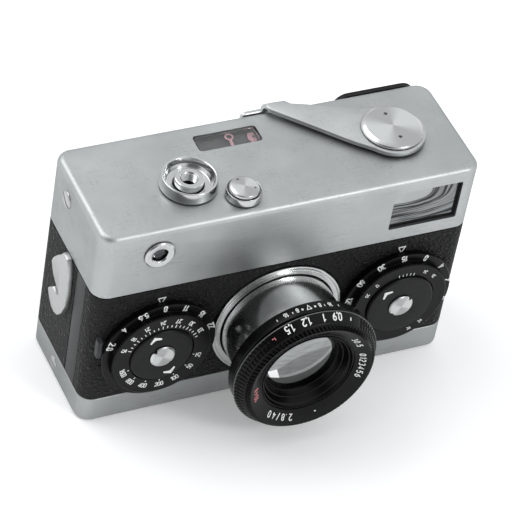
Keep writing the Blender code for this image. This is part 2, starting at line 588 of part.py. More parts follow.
def rewind():
    """Rewind hub with its fork in the cassette chamber, and the folding crank under the base."""
    axis = add_axis("rewind_axis", REWIND, CAMERA_AXIS)
    profile = [(0, 7.0), (2.4, 7.0), (2.4, 4.2), (3.2, 4.2), (3.2, 2.3), (8.9, 2.3), (8.9, 1.6), (0, 1.6)]
    hub = turned("rewind_hub", [(r * MM, z * MM) for r, z in profile], REWIND, STEEL, steps=MEDIUM, closed=False)
    cut_box(hub, "fork_slot", REWIND + Vector((-0.6, -4, 5.0)) * MM, REWIND + Vector((0.6, 4, 9)) * MM)
    finish(hub, axis, False)
    pivot = REWIND + Vector((-6.6, 0, 0.8)) * MM
    fold = add_axis("crank_axis", pivot, axis)
    handle = block("rewind_crank", pivot + Vector((-0.5, -2.2, -0.4)) * MM, pivot + Vector((13.2, 2.2, 0.4)) * MM,
                   SATIN, plan_radius=0.45 * MM, steps=2)
    finish(handle, fold, False)


def accessory_shoe():
    """Shoe for a flash foot, recessed in the base and open to the rear."""
    shoe = block("accessory_shoe", (SHOE_X - 11.0 * MM, -10.2 * MM, 0.4 * MM), (SHOE_X + 11.0 * MM, 10.2 * MM, 3.4 * MM),
                 SATIN)
    cut_box(shoe, "shoe_slot", (SHOE_X - 9.4 * MM, -8.6 * MM, 1.1 * MM), (SHOE_X + 9.4 * MM, 20 * MM, 2.6 * MM))
    cut_box(shoe, "shoe_gap", (SHOE_X - 6.3 * MM, -8.6 * MM, -2 * MM), (SHOE_X + 6.3 * MM, 20 * MM, 1.5 * MM))
    finish(shoe, CAMERA_AXIS, False)


# ---------------------------------------------------------------- lens

def lens_turned(name, points, material, axis, steps=FINE, closed=True):
    """A lens piece from (radius, distance in front of the middle plane) points in millimetres."""
    profile = [(radius * MM, ahead * MM) for radius, ahead in points]
    piece = turned(name, profile, (0, 0, LENS_Z), material, 'Y', steps, closed)
    finish(piece, axis, False)
    return piece


def lens():
    """Flange, sliding tube, fixed scale ring, focusing group, shutter and glasses."""
    centre = (0, 0, LENS_Z)
    lens_turned("lens_flange", [(15.4, 16.75), (16.6, 16.55), (16.8, 16.2), (16.8, 15.1), (14.8, 15.1),
                                (14.8, 16.75)], POLISHED, CAMERA_AXIS)
    slide_axis = add_axis("lens_slide_axis", centre, CAMERA_AXIS)
    lens_turned("lens_carriage", [(13.2, 17.4), (13.2, 8.6), (12.2, 8.6), (12.2, 17.4)], BRASS, slide_axis, MEDIUM)
    turn_axis = add_axis("lens_turn_axis", centre, slide_axis)
    lens_turned("lens_tube", [(14.5, 29.6), (14.5, 8.6), (13.6, 8.6), (13.6, 29.6)], POLISHED, turn_axis)
    lens_turned("scale_ring", [(17.8, 32.3), (18.0, 31.9), (18.0, 29.3), (17.6, 28.95), (14.8, 28.95),
                               (14.8, 32.3)], BLACK_ALLOY, turn_axis)
    lens_turned("shutter_housing", [(13.3, 28.6), (13.3, 20.0), (10.0, 18.4), (8.4, 18.4), (8.4, 21.0),
                                    (10.2, 21.0), (10.2, 28.6)], BLACK_ALLOY, turn_axis, MEDIUM)
    lens_turned("rear_lens", [(0, 20.2), (8.1, 19.9), (8.1, 17.4), (4.5, 16.9), (0, 16.7)], GLASS, turn_axis, MEDIUM,
                False)

    travel_axis = add_axis("helicoid_axis", centre, turn_axis)
    lens_turned("helicoid", [(12.9, 34.2), (12.9, 29.4), (11.9, 29.4), (11.9, 34.2)], BRASS, travel_axis, MEDIUM)
    focus_axis = add_axis("focus_axis", centre, travel_axis)
    lens_turned("focus_ring", [(16.85, 35.6), (18.3, 34.0), (18.3, 33.25), (17.9, 33.0), (13.6, 33.0), (13.6, 34.5),
                               (14.6, 35.6)], BLACK_ALLOY, focus_axis)
    lens_turned("front_ring", [(15.5, 36.85), (16.75, 36.1), (16.75, 35.9), (14.2, 35.9), (11.5, 34.3), (9.6, 31.2),
                               (9.6, 27.2), (8.8, 27.2), (8.8, 31.3), (11.2, 34.7), (11.9, 34.95)], BLACK_ALLOY, focus_axis)
    lens_turned("front_lens", [(0, 32.6), (4.0, 32.3), (7.0, 31.5), (8.5, 30.8), (8.5, 27.5), (0, 27.5)], GLASS,
                focus_axis, MEDIUM, False)


# ---------------------------------------------------------------- dials

def dial(kind, x, insert_radius, insert_name, cap_name):
    """A knurled dial with a number ring behind it, an insert that turns in it, and a cap."""
    centre = (x, 0, DIAL_Z)
    axis = add_axis(kind + "_axis", centre, CAMERA_AXIS)
    insert_axis = add_axis(insert_name + "_axis", centre, axis)

    def part(name, points, material, holder, steps=FINE, closed=False):
        profile = [(radius * MM, ahead * MM) for radius, ahead in points]
        finish(turned(name, profile, centre, material, 'Y', steps, closed), holder, False)

    bed = 19.2
    part(kind + "_dial", [(insert_radius + 0.3, 19.9), (12.2, 19.9), (12.6, 19.6), (12.6, 18.3), (14.2, 18.1),
                          (14.4, 17.7), (14.0, 16.3), (2.1, 16.3), (2.1, 12.9), (1.2, 12.9), (1.2, bed),
                          (insert_radius + 0.3, bed)], BLACK_ALLOY, axis, FINE, True)
    part(insert_name, [(insert_radius - 0.4, 20.5), (insert_radius, 20.2), (insert_radius, bed + 0.3),
                       (1.2, bed + 0.3), (1.2, 20.5)], BLACK_ALLOY, insert_axis, MEDIUM, True)
    part(cap_name, [(0, 21.1), (2.8, 21.1), (3.15, 20.8), (0.9, 20.8), (0.9, 14.0), (0, 14.0)], SATIN, axis,
         SMALL, False)


def dials():
    dial("aperture", APERTURE_X, 7.9, "film_speed_disc", "aperture_cap")
    dial("speed", SPEED_X, 8.8, "film_type_disc", "speed_cap")
    catch = add_axis("aperture_catch_axis", (-45.6 * MM, -17.0 * MM, 27.0 * MM), CAMERA_AXIS)
    tab = block("aperture_catch", (-47.3 * MM, -18.4 * MM, 24.4 * MM), (-46.1 * MM, -16.3 * MM, 29.4 * MM), STEEL,
                plan_radius=0.4 * MM, steps=2)
    finish(tab, catch, False)


base_tray()
back_shell()
strap_lug()
shell_fittings()
body_casting()
film_track()
front_leather()
top_cover()
finder()
light_meter()
shutter_release()
lens_lock()
wind_lever()
rewind()
accessory_shoe()
lens()
dials()
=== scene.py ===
import math
import bmesh
import bpy
import numpy as np
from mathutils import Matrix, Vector


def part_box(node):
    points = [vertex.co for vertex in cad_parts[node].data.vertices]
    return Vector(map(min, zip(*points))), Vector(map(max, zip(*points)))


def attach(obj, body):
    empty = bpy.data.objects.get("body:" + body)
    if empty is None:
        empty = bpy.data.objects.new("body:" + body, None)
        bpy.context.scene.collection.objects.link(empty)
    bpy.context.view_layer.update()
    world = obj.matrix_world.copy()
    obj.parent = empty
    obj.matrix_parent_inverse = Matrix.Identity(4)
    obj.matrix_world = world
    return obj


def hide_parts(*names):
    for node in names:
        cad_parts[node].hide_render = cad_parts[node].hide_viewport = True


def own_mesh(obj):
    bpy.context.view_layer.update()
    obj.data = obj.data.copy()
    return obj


mm = 0.001
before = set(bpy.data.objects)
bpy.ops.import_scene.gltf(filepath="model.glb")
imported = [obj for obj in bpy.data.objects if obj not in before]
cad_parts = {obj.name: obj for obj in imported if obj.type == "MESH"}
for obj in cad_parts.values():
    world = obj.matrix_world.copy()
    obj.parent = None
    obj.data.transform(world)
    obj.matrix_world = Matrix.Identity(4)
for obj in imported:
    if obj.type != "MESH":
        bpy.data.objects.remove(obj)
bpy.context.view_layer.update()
print("frame loaded")


def plug(tree, target, value):
    if isinstance(value, Wire):
        tree.links.new(value.socket, target)
    else:
        target.default_value = value


def addNode(tree, kind, settings, inputs, output=0):
    # one node: its settings first, then a value or a link for each socket
    node = tree.nodes.new(kind)
    for key, value in settings.items():
        setattr(node, key, value)
    for key, value in inputs.items():
        plug(tree, node.inputs[key], value)
    return Wire(tree, node.outputs[output])


class Wire:
    # one output socket, whose arithmetic adds the nodes behind it
    def __init__(self, tree, socket):
        self.tree = tree
        self.socket = socket

    def maths(self, operation, *others):
        return addNode(self.tree, "ShaderNodeMath", {"operation": operation},
                       dict(enumerate((self,) + others)))

    def __add__(self, other):
        return self.maths("ADD", other)

    def __radd__(self, other):
        return self.maths("ADD", other)

    def __sub__(self, other):
        return self.maths("SUBTRACT", other)

    def __rsub__(self, other):
        return (self * -1.0) + other

    def __mul__(self, other):
        return self.maths("MULTIPLY", other)

    def __rmul__(self, other):
        return self.maths("MULTIPLY", other)

    def __truediv__(self, other):
        return self.maths("DIVIDE", other)

    def __pow__(self, other):
        return self.maths("POWER", other)

    def step(self, low, high):
        # 0 up to low, 1 from high on, and a smooth rise between them
        return addNode(self.tree, "ShaderNodeMapRange", {"interpolation_type": "SMOOTHSTEP"},
                       {"Value": self, "From Min": low, "From Max": high}, "Result")


class Paint:
    # a material on a Principled shader: constants go on its sockets, varying values are wired
    def __init__(self, name, **constants):
        self.material = bpy.data.materials.new(name)
        self.material.use_nodes = True
        self.tree = self.material.node_tree
        self.shader = self.tree.nodes["Principled BSDF"]
        for key, value in constants.items():
            self.set(key.replace("_", " "), value)

    def set(self, name, value):
        plug(self.tree, self.shader.inputs[name], value)

    def node(self, kind, output, inputs=None, **settings):
        return addNode(self.tree, kind, settings, inputs or {}, output)

    def place(self, scale=(1, 1, 1), centre=(0, 0, 0), turn=(0, 0, 0)):
        # object coordinates in millimetres, moved to a centre, then stretched and turned
        coords = self.node("ShaderNodeTexCoord", "Object")
        moved = self.node("ShaderNodeMapping", "Vector", {"Vector": coords, "Scale": [1000.0] * 3,
                                                          "Location": [-value for value in centre]})
        return self.node("ShaderNodeMapping", "Vector", {"Vector": moved, "Rotation": turn, "Scale": scale})

    def noise(self, size, detail=3.0, rough=0.5, vector=None, distortion=0.0):
        vector = vector or self.place()
        return self.node("ShaderNodeTexNoise", 0, {"Vector": vector, "Scale": 1.0 / size, "Detail": detail,
                                                   "Roughness": rough, "Distortion": distortion})

    def cells(self, size, vector=None, **settings):
        vector = vector or self.place()
        return self.node("ShaderNodeTexVoronoi", "Distance", {"Vector": vector, "Scale": 1.0 / size},
                         **settings)

    def mix(self, factor, low, high):
        # a colour between two colours
        low, high = ((*value, 1.0) if isinstance(value, tuple) else value for value in (low, high))
        return self.node("ShaderNodeMix", 2, {0: factor, 6: low, 7: high}, data_type="RGBA")

    def axis(self, vector, name):
        return self.node("ShaderNodeSeparateXYZ", name, {"Vector": vector})

    def bump(self, height, depth, strength=1.0):
        self.set("Normal", self.node("ShaderNodeBump", "Normal",
                                     {"Height": height, "Distance": depth * mm, "Strength": strength}))


def shade(tone, share):
    return tuple(value * share for value in tone)


def satinMetal(name, tone, rough, seed=0.0):
    # bead-blasted chrome: soft clouds in the tone, fine grain, hairline scuffs both ways and a few specks
    paint = Paint(name, Metallic=1.0, Specular_Tint=(0.50, 0.51, 0.51, 1.0))
    place = paint.place(centre=(seed, seed * 0.7, 0))
    clouds = paint.noise(14.0, 3, 0.55, place)
    grain = paint.noise(0.16, 2, 0.6, place)
    hairAcross = paint.noise(1.0, 2, 0.5, paint.place((0.22, 5.5, 5.5), turn=(0, 0, 0.5)))
    hairAlong = paint.noise(1.0, 2, 0.5, paint.place((5.0, 0.25, 4.6), turn=(0, 0, 0.6)))
    scuff = hairAcross.step(0.60, 0.66) + hairAlong.step(0.61, 0.67)
    specks = 1.0 - paint.cells(3.0, vector=place, distance="EUCLIDEAN").step(0.03, 0.09)
    wear = paint.noise(9.0, 2, 0.5, place).step(0.44, 0.54)
    base = paint.mix(clouds.step(0.25, 0.75), shade(tone, 0.86), tone)
    stain = (scuff * 0.5 + specks * 0.8) * wear
    paint.set("Base Color", paint.mix(stain, base, shade(tone, 0.62)))
    paint.set("Roughness", clouds * 0.10 + (rough - 0.05) + scuff * 0.06)
    paint.bump(grain + scuff * -0.4, 0.012, 0.7)
    return paint.material


def polishedMetal(name, tone, rough):
    # polished plate with faint wipe marks and a little haze
    paint = Paint(name, Metallic=1.0)
    haze = paint.noise(2.2, 4, 0.6)
    wipe = paint.noise(1.0, 2, 0.5, paint.place((0.5, 6.0, 6.0)))
    paint.set("Base Color", paint.mix(haze.step(0.3, 0.75), shade(tone, 0.9), tone))
    paint.set("Roughness", haze * 0.07 + wipe * 0.05 + (rough - 0.03))
    paint.bump(wipe + haze * 0.5, 0.004, 0.5)
    return paint.material


def spunMetalPaintedSheen(name, tone, centre, rough, up="Y"):
    # lathe-turned face: noise on the radius alone gives the rings, and a painted sheen lightens the colour
    # in two opposite fans, (x*x - 0.9 y*y + 1.2 x*y) / (x*x + y*y)
    paint = Paint(name, Metallic=1.0)
    place = paint.place(centre=centre)
    across, other = paint.axis(place, "X"), paint.axis(place, up)
    radius = (across * across + other * other) ** 0.5
    line = paint.node("ShaderNodeCombineXYZ", "Vector", {"X": radius * 9.0})
    rings = paint.noise(1.0, 3.0, 0.7, line)
    haze = paint.noise(1.6, 3, 0.55)
    fan = (across * across - other * other * 0.9 + across * other * 1.2) / (radius * radius + 0.05)
    light = (fan + rings * 0.35 - 0.17).step(-0.9, 0.9)
    # painted sheen: the base colour is lighter in the two fans and along the rings
    paint.set("Base Color", paint.mix(light, shade(tone, 0.66), tone))
    paint.set("Roughness", haze * 0.08 + rough)
    paint.bump(rings, 0.010, 0.8)
    return paint.material


def blackCoat(name, tone, rough, depth=0.01, gloss=0.16):
    # black finish with fine tooth, dust in places and rubbed, slightly shinier patches
    paint = Paint(name, Specular_IOR_Level=gloss)
    grain = paint.noise(0.14, 3, 0.6)
    patch = paint.noise(3.5, 3, 0.55)
    dust = 1.0 - paint.cells(1.3).step(0.02, 0.05)
    spread = paint.noise(4.0, 2, 0.5).step(0.5, 0.7)
    base = paint.mix(patch.step(0.3, 0.8), shade(tone, 0.75), shade(tone, 1.25))
    paint.set("Base Color", paint.mix(dust * spread * 0.35, base, (0.20, 0.20, 0.19)))
    paint.set("Roughness", patch * 0.14 + grain * 0.06 + (rough - 0.10))
    paint.bump(grain, depth, 0.8)
    return paint.material


def leatherette(name):
    # pebbled covering: rounded cells of two sizes, shifted by a coloured noise, with deep creases between
    # them
    paint = Paint(name, Specular_IOR_Level=0.34)
    place = paint.place()
    warp = paint.noise(1.1, 2, 0.5, place, 0.4)
    drift = paint.node("ShaderNodeTexNoise", "Color", {"Vector": place, "Scale": 0.7, "Detail": 3.0})
    drift = paint.node("ShaderNodeVectorMath", "Vector", {0: drift, 1: (1.5, 1.5, 1.5)},
                       operation="MULTIPLY")
    shifted = paint.node("ShaderNodeVectorMath", "Vector", {0: place, 1: drift}, operation="ADD")
    pebble = paint.cells(0.95, vector=shifted, feature="SMOOTH_F1")
    crease = paint.cells(1.15, vector=shifted, feature="DISTANCE_TO_EDGE").step(0.0, 0.30)
    fine = paint.noise(0.16, 3, 0.6, place)
    # painted light: the colour is near black in the creases, a painted shade, and lighter on the pebble
    # tops, a painted highlight
    top = (1.0 - pebble).step(0.42, 0.92) * crease
    paint.set("Base Color", paint.mix(top, (0.0003, 0.0003, 0.0004), (0.0150, 0.0150, 0.0155)))
    paint.set("Roughness", 0.62 - top * 0.30 + fine * 0.1)
    paint.bump(top * 1.0 + fine * 0.10 + warp * 0.3, 1.6, 1.0)
    return paint.material


def markPaint(name, tone):
    # filled engraving, a little uneven
    paint = Paint(name)
    worn = paint.noise(0.5, 3, 0.6)
    paint.set("Base Color", paint.mix(worn.step(0.25, 0.6), shade(tone, 0.72), tone))
    paint.set("Roughness", worn * 0.2 + 0.42)
    paint.bump(worn, 0.008, 0.5)
    return paint.material


def clearGlass(name, tint):
    # clear pane with a trace of smear in its gloss
    paint = Paint(name, Transmission_Weight=1.0, IOR=1.5)
    smear = paint.noise(2.0, 3, 0.6)
    paint.set("Base Color", paint.mix(smear, tint, tuple(min(1.0, value) for value in shade(tint, 1.03))))
    paint.set("Roughness", smear.step(0.45, 0.8) * 0.04 + 0.015)
    return paint.material


def paintedReflectionGlass(name, tone, centre, size):
    # painted reflection of the room on a coated element: along a tilted line, u runs up to the right and v
    # across; a painted bright field ends below in the bowed edge v = 0.34 u*u - 0.26, a leaf of softer tone
    # lies inside it, a painted white highlight in the corner on its left and a dim painted crescent below
    paint = Paint(name, Metallic=1.0)
    place = paint.place((1 / size, 1 / size, 1 / size), centre)
    x, z = paint.axis(place, "X"), paint.axis(place, "Z")
    u = x * 0.94 + z * 0.34
    v = z * 0.94 - x * 0.34
    streak = paint.noise(1.0, 3, 0.6, paint.place((0.35, 0.8, 1.6), centre, (0, 0.35, 0)))
    cloud = paint.noise(2.4, 3, 0.5)
    bow = v + 0.26 - u * u * 0.34
    field = bow.step(-0.015, 0.02)
    leaf = ((v - 0.14).maths("ABSOLUTE") + u * u * 0.34).step(0.24, 0.30)
    soft = paint.mix(streak.step(0.3, 0.7), shade(tone, 0.60), shade(tone, 0.80))
    bright = paint.mix(streak.step(0.3, 0.7), shade(tone, 0.95), shade(tone, 1.25))
    lit = paint.mix(leaf, soft, bright)
    corner = (-0.70 - u).step(-0.01, 0.02) * (v + 0.22).step(0.0, 0.05) * (0.30 - v).step(0.0, 0.05)
    lit = paint.mix(corner, lit, (0.92, 0.93, 0.93))
    crescent = paint.mix((v + 0.95).step(0.0, 0.75), (0.006, 0.006, 0.006), shade(tone, 0.28))
    # painted reflection: the base colour carries the bright field, the leaf, the white corner and the dim
    # crescent
    paint.set("Base Color", paint.mix(field, crescent, lit))
    paint.set("Roughness", cloud * 0.05 + 0.04)
    paint.bump(cloud + streak, 0.01, 0.3)
    return paint.material


def paintedFinderView(name):
    # painted light and reflection: contours round the far opening, the power mean ((right ** p) + (down **
    # p)) ** (1 / p) of the distances from the upper left; a painted pale glow inside the first contour and
    # alternating painted reflection streaks beyond it
    power = 3.6
    paint = Paint(name, Metallic=1.0)
    place = paint.place()
    x, z = paint.axis(place, "X"), paint.axis(place, "Z")
    wobble = paint.noise(5.0, 2, 0.5)
    right = ((x - 26.0) / 9.9).maths("MAXIMUM", 0.0) ** power
    down = ((57.3 - z) / 4.4).maths("MAXIMUM", 0.0) ** power
    contour = (right + down) ** (1 / power) + (wobble - 0.5) * 0.16
    line = paint.node("ShaderNodeCombineXYZ", "Vector", {"X": contour * 9.0, "Y": (x + z) * 0.05})
    band = paint.noise(1.0, 2.5, 0.6, line)
    streaks = paint.mix(band.step(0.40, 0.62), (0.030, 0.032, 0.033), (0.24, 0.25, 0.25))
    pale = paint.mix(wobble.step(0.2, 0.8), (0.34, 0.355, 0.353), (0.40, 0.415, 0.413))
    # painted light: a pale glow inside the first contour, painted reflection streaks beyond it
    paint.set("Base Color", paint.mix(contour.step(0.97, 1.03), pale, streaks))
    paint.set("Roughness", wobble * 0.05 + 0.10)
    paint.bump(band, 0.01, 0.4)
    return paint.material


satin = satinMetal("satinChrome", (0.475, 0.492, 0.490), 0.44)
satinTray = satinMetal("satinChromeTray", (0.430, 0.445, 0.443), 0.50, 7.0)
satinSmall = satinMetal("satinChromeSmall", (0.56, 0.575, 0.573), 0.36, 3.0)
polished = polishedMetal("polishedChrome", (0.56, 0.572, 0.57), 0.12)
hazyChrome = polishedMetal("hazyChrome", (0.60, 0.61, 0.605), 0.17)
steel = polishedMetal("plainSteel", (0.46, 0.47, 0.465), 0.30)
darkSteel = polishedMetal("darkSteel", (0.16, 0.162, 0.16), 0.34)
brass = polishedMetal("machinedBrass", (0.62, 0.45, 0.20), 0.26)
leather = leatherette("pebbledLeather")
blackPaint = blackCoat("blackPaint", (0.022, 0.023, 0.024), 0.40, 0.012, gloss=0.4)
bandGrey = blackCoat("bandGrey", (0.036, 0.037, 0.038), 0.42, 0.012)
deepBlack = blackCoat("deepBlack", (0.004, 0.004, 0.004), 0.60)
blackAlloy = blackCoat("blackAlloy", (0.0022, 0.0022, 0.0024), 0.32, gloss=0.16)
blackDisc = blackCoat("blackDisc", (0.0060, 0.0061, 0.0063), 0.38, gloss=0.18)
blackRing = blackCoat("blackRing", (0.0016, 0.0016, 0.0017), 0.25, gloss=0.17)
blackPlastic = blackCoat("blackPlastic", (0.014, 0.014, 0.0145), 0.46, 0.02)
whiteMark = markPaint("whiteMark", (0.83, 0.84, 0.82))
dimMark = markPaint("dimMark", (0.40, 0.41, 0.40))
redMark = markPaint("redMark", (0.62, 0.20, 0.21))
pinkMark = markPaint("pinkMark", (0.78, 0.42, 0.47))
paintedFinderLight = paintedFinderView("finderLightAndReflection")
tunnelGrey = polishedMetal("tunnelGrey", (0.30, 0.31, 0.31), 0.22)
meterCase = polishedMetal("meterCase", (0.42, 0.43, 0.42), 0.38)
meterGrey = blackCoat("meterGrey", (0.115, 0.120, 0.120), 0.40, 0.006)
clear = clearGlass("clearGlass", (0.97, 0.985, 0.98))
# painted reflections of the room in the front lens and in the meter cell
lensPaintedReflection = paintedReflectionGlass("lensPaintedReflection", (0.27, 0.278, 0.276), (0, 0, 22.6), 9.0)
cellPaintedReflection = paintedReflectionGlass("cellPaintedReflection", (0.07, 0.073, 0.078), (-33.9, 0, 52.7), 1.8)
print("materials made")


def makePiece(name, verts, faces, material, body, replaced=(), sharp=32.0, weld=True):
    # a mesh object from arrays, welded, turned outward and shaded smooth up to a crease angle
    mesh = bpy.data.meshes.new(name)
    mesh.from_pydata(np.asarray(verts).tolist(), [], faces)
    if weld:
        shape = bmesh.new()
        shape.from_mesh(mesh)
        bmesh.ops.remove_doubles(shape, verts=shape.verts, dist=1e-7)
        bmesh.ops.recalc_face_normals(shape, faces=shape.faces)
        shape.to_mesh(mesh)
        shape.free()
    mesh.materials.append(material)
    mesh.shade_smooth()
    mesh.set_sharp_from_angle(angle=math.radians(sharp))
    piece = bpy.data.objects.new(name, mesh)
    bpy.context.scene.collection.objects.link(piece)
    if body:
        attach(piece, body)
    if replaced:
        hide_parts(*replaced)
    return piece


def gridFaces(rows, columns, closeRows, closeColumns):
    # quads between neighbouring rows and columns of a point grid, each wrapping round where it is closed
    r = np.arange(rows if closeRows else rows - 1)
    c = np.arange(columns if closeColumns else columns - 1)
    a = r[:, None] * columns + c[None, :]
    b = r[:, None] * columns + (c[None, :] + 1) % columns
    down = ((r[:, None] + 1) % rows) * columns
    d = down + c[None, :]
    e = down + (c[None, :] + 1) % columns
    return np.stack([a, b, e, d], -1).reshape(-1, 4).tolist()


def soften(points, radius, count, closed=True):
    # each corner p between its neighbours becomes the curve (1-t)^2 a + 2t(1-t) p + t^2 b, where a and b
    # lie on its two sides at the radius, or at 0.45 of the shorter side; points on the axis and open ends
    # stay as they are
    here = np.array(points, float)
    before, after = np.roll(here, 1, 0) - here, np.roll(here, -1, 0) - here
    sides = [np.maximum(np.linalg.norm(side, axis=1, keepdims=True), 1e-9) for side in (before, after)]
    reach = np.minimum(radius, 0.45 * np.minimum(*sides))
    start, end = here + before * reach / sides[0], here + after * reach / sides[1]
    t = np.linspace(0, 1, count)[None, :, None]
    curve = (1 - t) ** 2 * start[:, None] + 2 * t * (1 - t) * here[:, None] + t ** 2 * end[:, None]
    plain = here[:, 0] < 1e-6
    if not closed:
        plain[[0, -1]] = True
    curve[plain, 0] = here[plain]
    kept = np.ones(curve.shape[:2], bool)
    kept[plain, 1:] = False
    return curve[kept]


def cappedFaces(rows, columns):
    # the quads of a stack of closed rings, with one flat face on each end
    ends = [list(range(columns)), list(range((rows - 1) * columns, rows * columns))]
    return gridFaces(rows, columns, False, True) + ends


def around(profile, steps, centre, axis, change=None):
    # point (radius, height) of the profile goes to (radius cos t, radius sin t) round the axis, at its
    # height; change(radius, height, t) may first move the point, as a knurl does
    t = np.linspace(0, 2 * math.pi, steps, endpoint=False)[None, :]
    radius = np.repeat(np.array(profile, float)[:, :1], steps, 1)
    height = np.repeat(np.array(profile, float)[:, 1:2], steps, 1)
    if change:
        radius, height = change(radius, height, t)
    across, along = radius * np.cos(t), radius * np.sin(t)
    cx, cy, cz = centre
    if axis == "Y":
        grid = np.stack([cx + across, cy - height, cz + along], -1)
    elif axis == "X":
        grid = np.stack([cx + height, cy + across, cz + along], -1)
    else:
        grid = np.stack([cx + across, cy + along, cz + height], -1)
    return grid.reshape(-1, 3) * mm


def turnedPiece(name, profile, centre, axis, material, body, steps=144, edge=0.12, closed=True, change=None,
                replaced=(), sharp=32.0):
    # a (radius, height) profile, its corners softened by the edge, carried round the axis
    profile = soften(profile, edge, 4, closed) if edge else np.array(profile, float)
    verts = around(profile, steps, centre, axis, change)
    faces = gridFaces(len(profile), steps, closed, True)
    return makePiece(name, verts, faces, material, body, replaced, sharp)


def rectPath(halfX, halfY, radius, count=14):
    # arc centres and outward directions of a rectangle with rounded corners, going round once
    corners, normals = [], []
    for index, (sx, sy) in enumerate(((1, 1), (-1, 1), (-1, -1), (1, -1))):
        t = np.radians(np.linspace(0, 90, count) + 90 * index)
        corners.append(np.repeat([[sx * (halfX - radius), sy * (halfY - radius)]], count, 0))
        normals.append(np.stack([np.cos(t), np.sin(t)], -1))
    return np.concatenate(corners), np.concatenate(normals)


def slabPiece(name, half, radius, profile, material, body, centre=(0, 0), upright=False, replaced=(),
              count=14):
    # (inset, height) points are swept round a rounded rectangle, and each end is closed by one flat face;
    # an upright slab has its rectangle in x and z, and the heights run along y
    corners, normals = rectPath(half[0], half[1], radius, count)
    order = [0, 2, 1] if upright else [0, 1, 2]
    rows = [np.column_stack([corners + normals * (radius - inset) + np.array(centre),
                             np.full(len(corners), height)])
            for inset, height in profile]
    verts = np.concatenate(rows)[:, order] * mm
    return makePiece(name, verts, cappedFaces(len(rows), len(corners)), material, body, replaced)


def boxCutter(name, low, high, radius=0.0, axis="Z", count=8):
    # a block between two corners, with rounded edges along one axis
    order = {"Z": (0, 1, 2), "Y": (0, 2, 1), "X": (1, 2, 0)}[axis]
    low, high = np.array(low, float), np.array(high, float)
    middle, half = (low + high) / 2, (high - low) / 2
    radius, count = (radius, count) if radius else (0.001, 2)
    corners, normals = rectPath(half[order[0]], half[order[1]], radius, count)
    ring = corners + normals * radius
    verts = np.zeros((2 * len(ring), 3))
    verts[:, order[0]] = np.tile(ring[:, 0], 2) + middle[order[0]]
    verts[:, order[1]] = np.tile(ring[:, 1], 2) + middle[order[1]]
    verts[:, order[2]] = np.repeat([low[order[2]], high[order[2]]], len(ring))
    return makePiece(name, verts * mm, cappedFaces(2, len(ring)), deepBlack, None)


def roundCutter(name, centre, radius, low, high, axis="Z", steps=64):
    verts = around([(radius, low), (radius, high)], steps, centre, axis)
    return makePiece(name, verts, cappedFaces(2, steps), deepBlack, None)


def carve(piece, *cutters):
    # exact cuts, worked into the mesh, after which the cutters are taken away
    for cutter in cutters:
        cut = piece.modifiers.new("cut", "BOOLEAN")
        cut.operation = "DIFFERENCE"
        cut.solver = "EXACT"
        cut.object = cutter
    bpy.context.view_layer.update()
    done = bpy.data.meshes.new_from_object(piece.evaluated_get(bpy.context.evaluated_depsgraph_get()))
    piece.modifiers.clear()
    old = piece.data
    piece.data = done
    bpy.data.meshes.remove(old)
    for cutter in cutters:
        bpy.data.objects.remove(cutter, do_unlink=True)
    done.shade_smooth()
    done.set_sharp_from_angle(angle=math.radians(32))
    return piece


def arcLine(cx, cy, rx, ry, start, end, count=12):
    # points (cx + rx cos t, cy + ry sin t) from the start angle to the end angle
    t = np.radians(np.linspace(start, end, count))
    return np.stack([cx + rx * np.cos(t), cy + ry * np.sin(t)], -1).tolist()


# the width and the strokes of each figure, in a box one unit high
figures = {
    "0": (0.52, [arcLine(0.26, 0.70, 0.20, 0.24, 0, 180) + arcLine(0.26, 0.30, 0.20, 0.24, 180,
                                                                   360) + [[0.46, 0.70]]]),
    "1": (0.34, [[[0.04, 0.74], [0.24, 0.94], [0.24, 0.06]]]),
    "2": (0.52, [arcLine(0.26, 0.70, 0.20, 0.24, 165, -38) + [[0.07, 0.07], [0.48, 0.07]]]),
    "3": (0.52, [arcLine(0.25, 0.72, 0.18, 0.22, 150, -80), arcLine(0.25, 0.28, 0.21, 0.23, 80, -150)]),
    "4": (0.54, [[[0.36, 0.06], [0.36, 0.94], [0.06, 0.30], [0.50, 0.30]]]),
    "5": (0.52, [[[0.44, 0.93], [0.12, 0.93], [0.09, 0.53]] + arcLine(0.26, 0.33, 0.20, 0.27, 115, -145)]),
    "6": (0.52, [arcLine(0.27, 0.31, 0.20, 0.25, 0, 360, 16), [[0.07, 0.33], [0.10, 0.58], [0.34, 0.94]]]),
    "7": (0.48, [[[0.05, 0.93], [0.44, 0.93], [0.18, 0.06]]]),
    "8": (0.52, [arcLine(0.26, 0.72, 0.17, 0.21, 0, 360, 16), arcLine(0.26, 0.29, 0.20, 0.23, 0, 360, 16)]),
    "9": (0.52, [arcLine(0.25, 0.69, 0.20, 0.25, 0, 360, 16), [[0.45, 0.67], [0.42, 0.42], [0.18, 0.06]]]),
    "B": (0.52, [[[0.09, 0.50], [0.09, 0.93]] + arcLine(0.26, 0.73, 0.16, 0.20, 90, -90) + [[0.09, 0.53]],
                 [[0.09, 0.07], [0.09, 0.50]] + arcLine(0.27, 0.29, 0.19, 0.22, 90, -90) + [[0.09, 0.07]]]),
    ",": (0.24, [[[0.13, 0.16], [0.08, -0.08]]]),
    ".": (0.22, [[[0.11, 0.05], [0.11, 0.14]]]),
    "/": (0.46, [[[0.06, -0.04], [0.40, 1.0]]]),
    "'": (0.22, [[[0.11, 0.42], [0.11, 0.86]]]),
    "\"": (0.40, [[[0.11, 0.42], [0.11, 0.86]], [[0.30, 0.42], [0.30, 0.86]]]),
    "-": (0.46, [[[0.08, 0.48], [0.38, 0.48]]]),
    "v": (0.90, [[[0.06, 0.92], [0.84, 0.92], [0.45, 0.12], [0.06, 0.92]]]),
    "|": (0.20, [[[0.10, 0.0], [0.10, 1.0]]]),
}


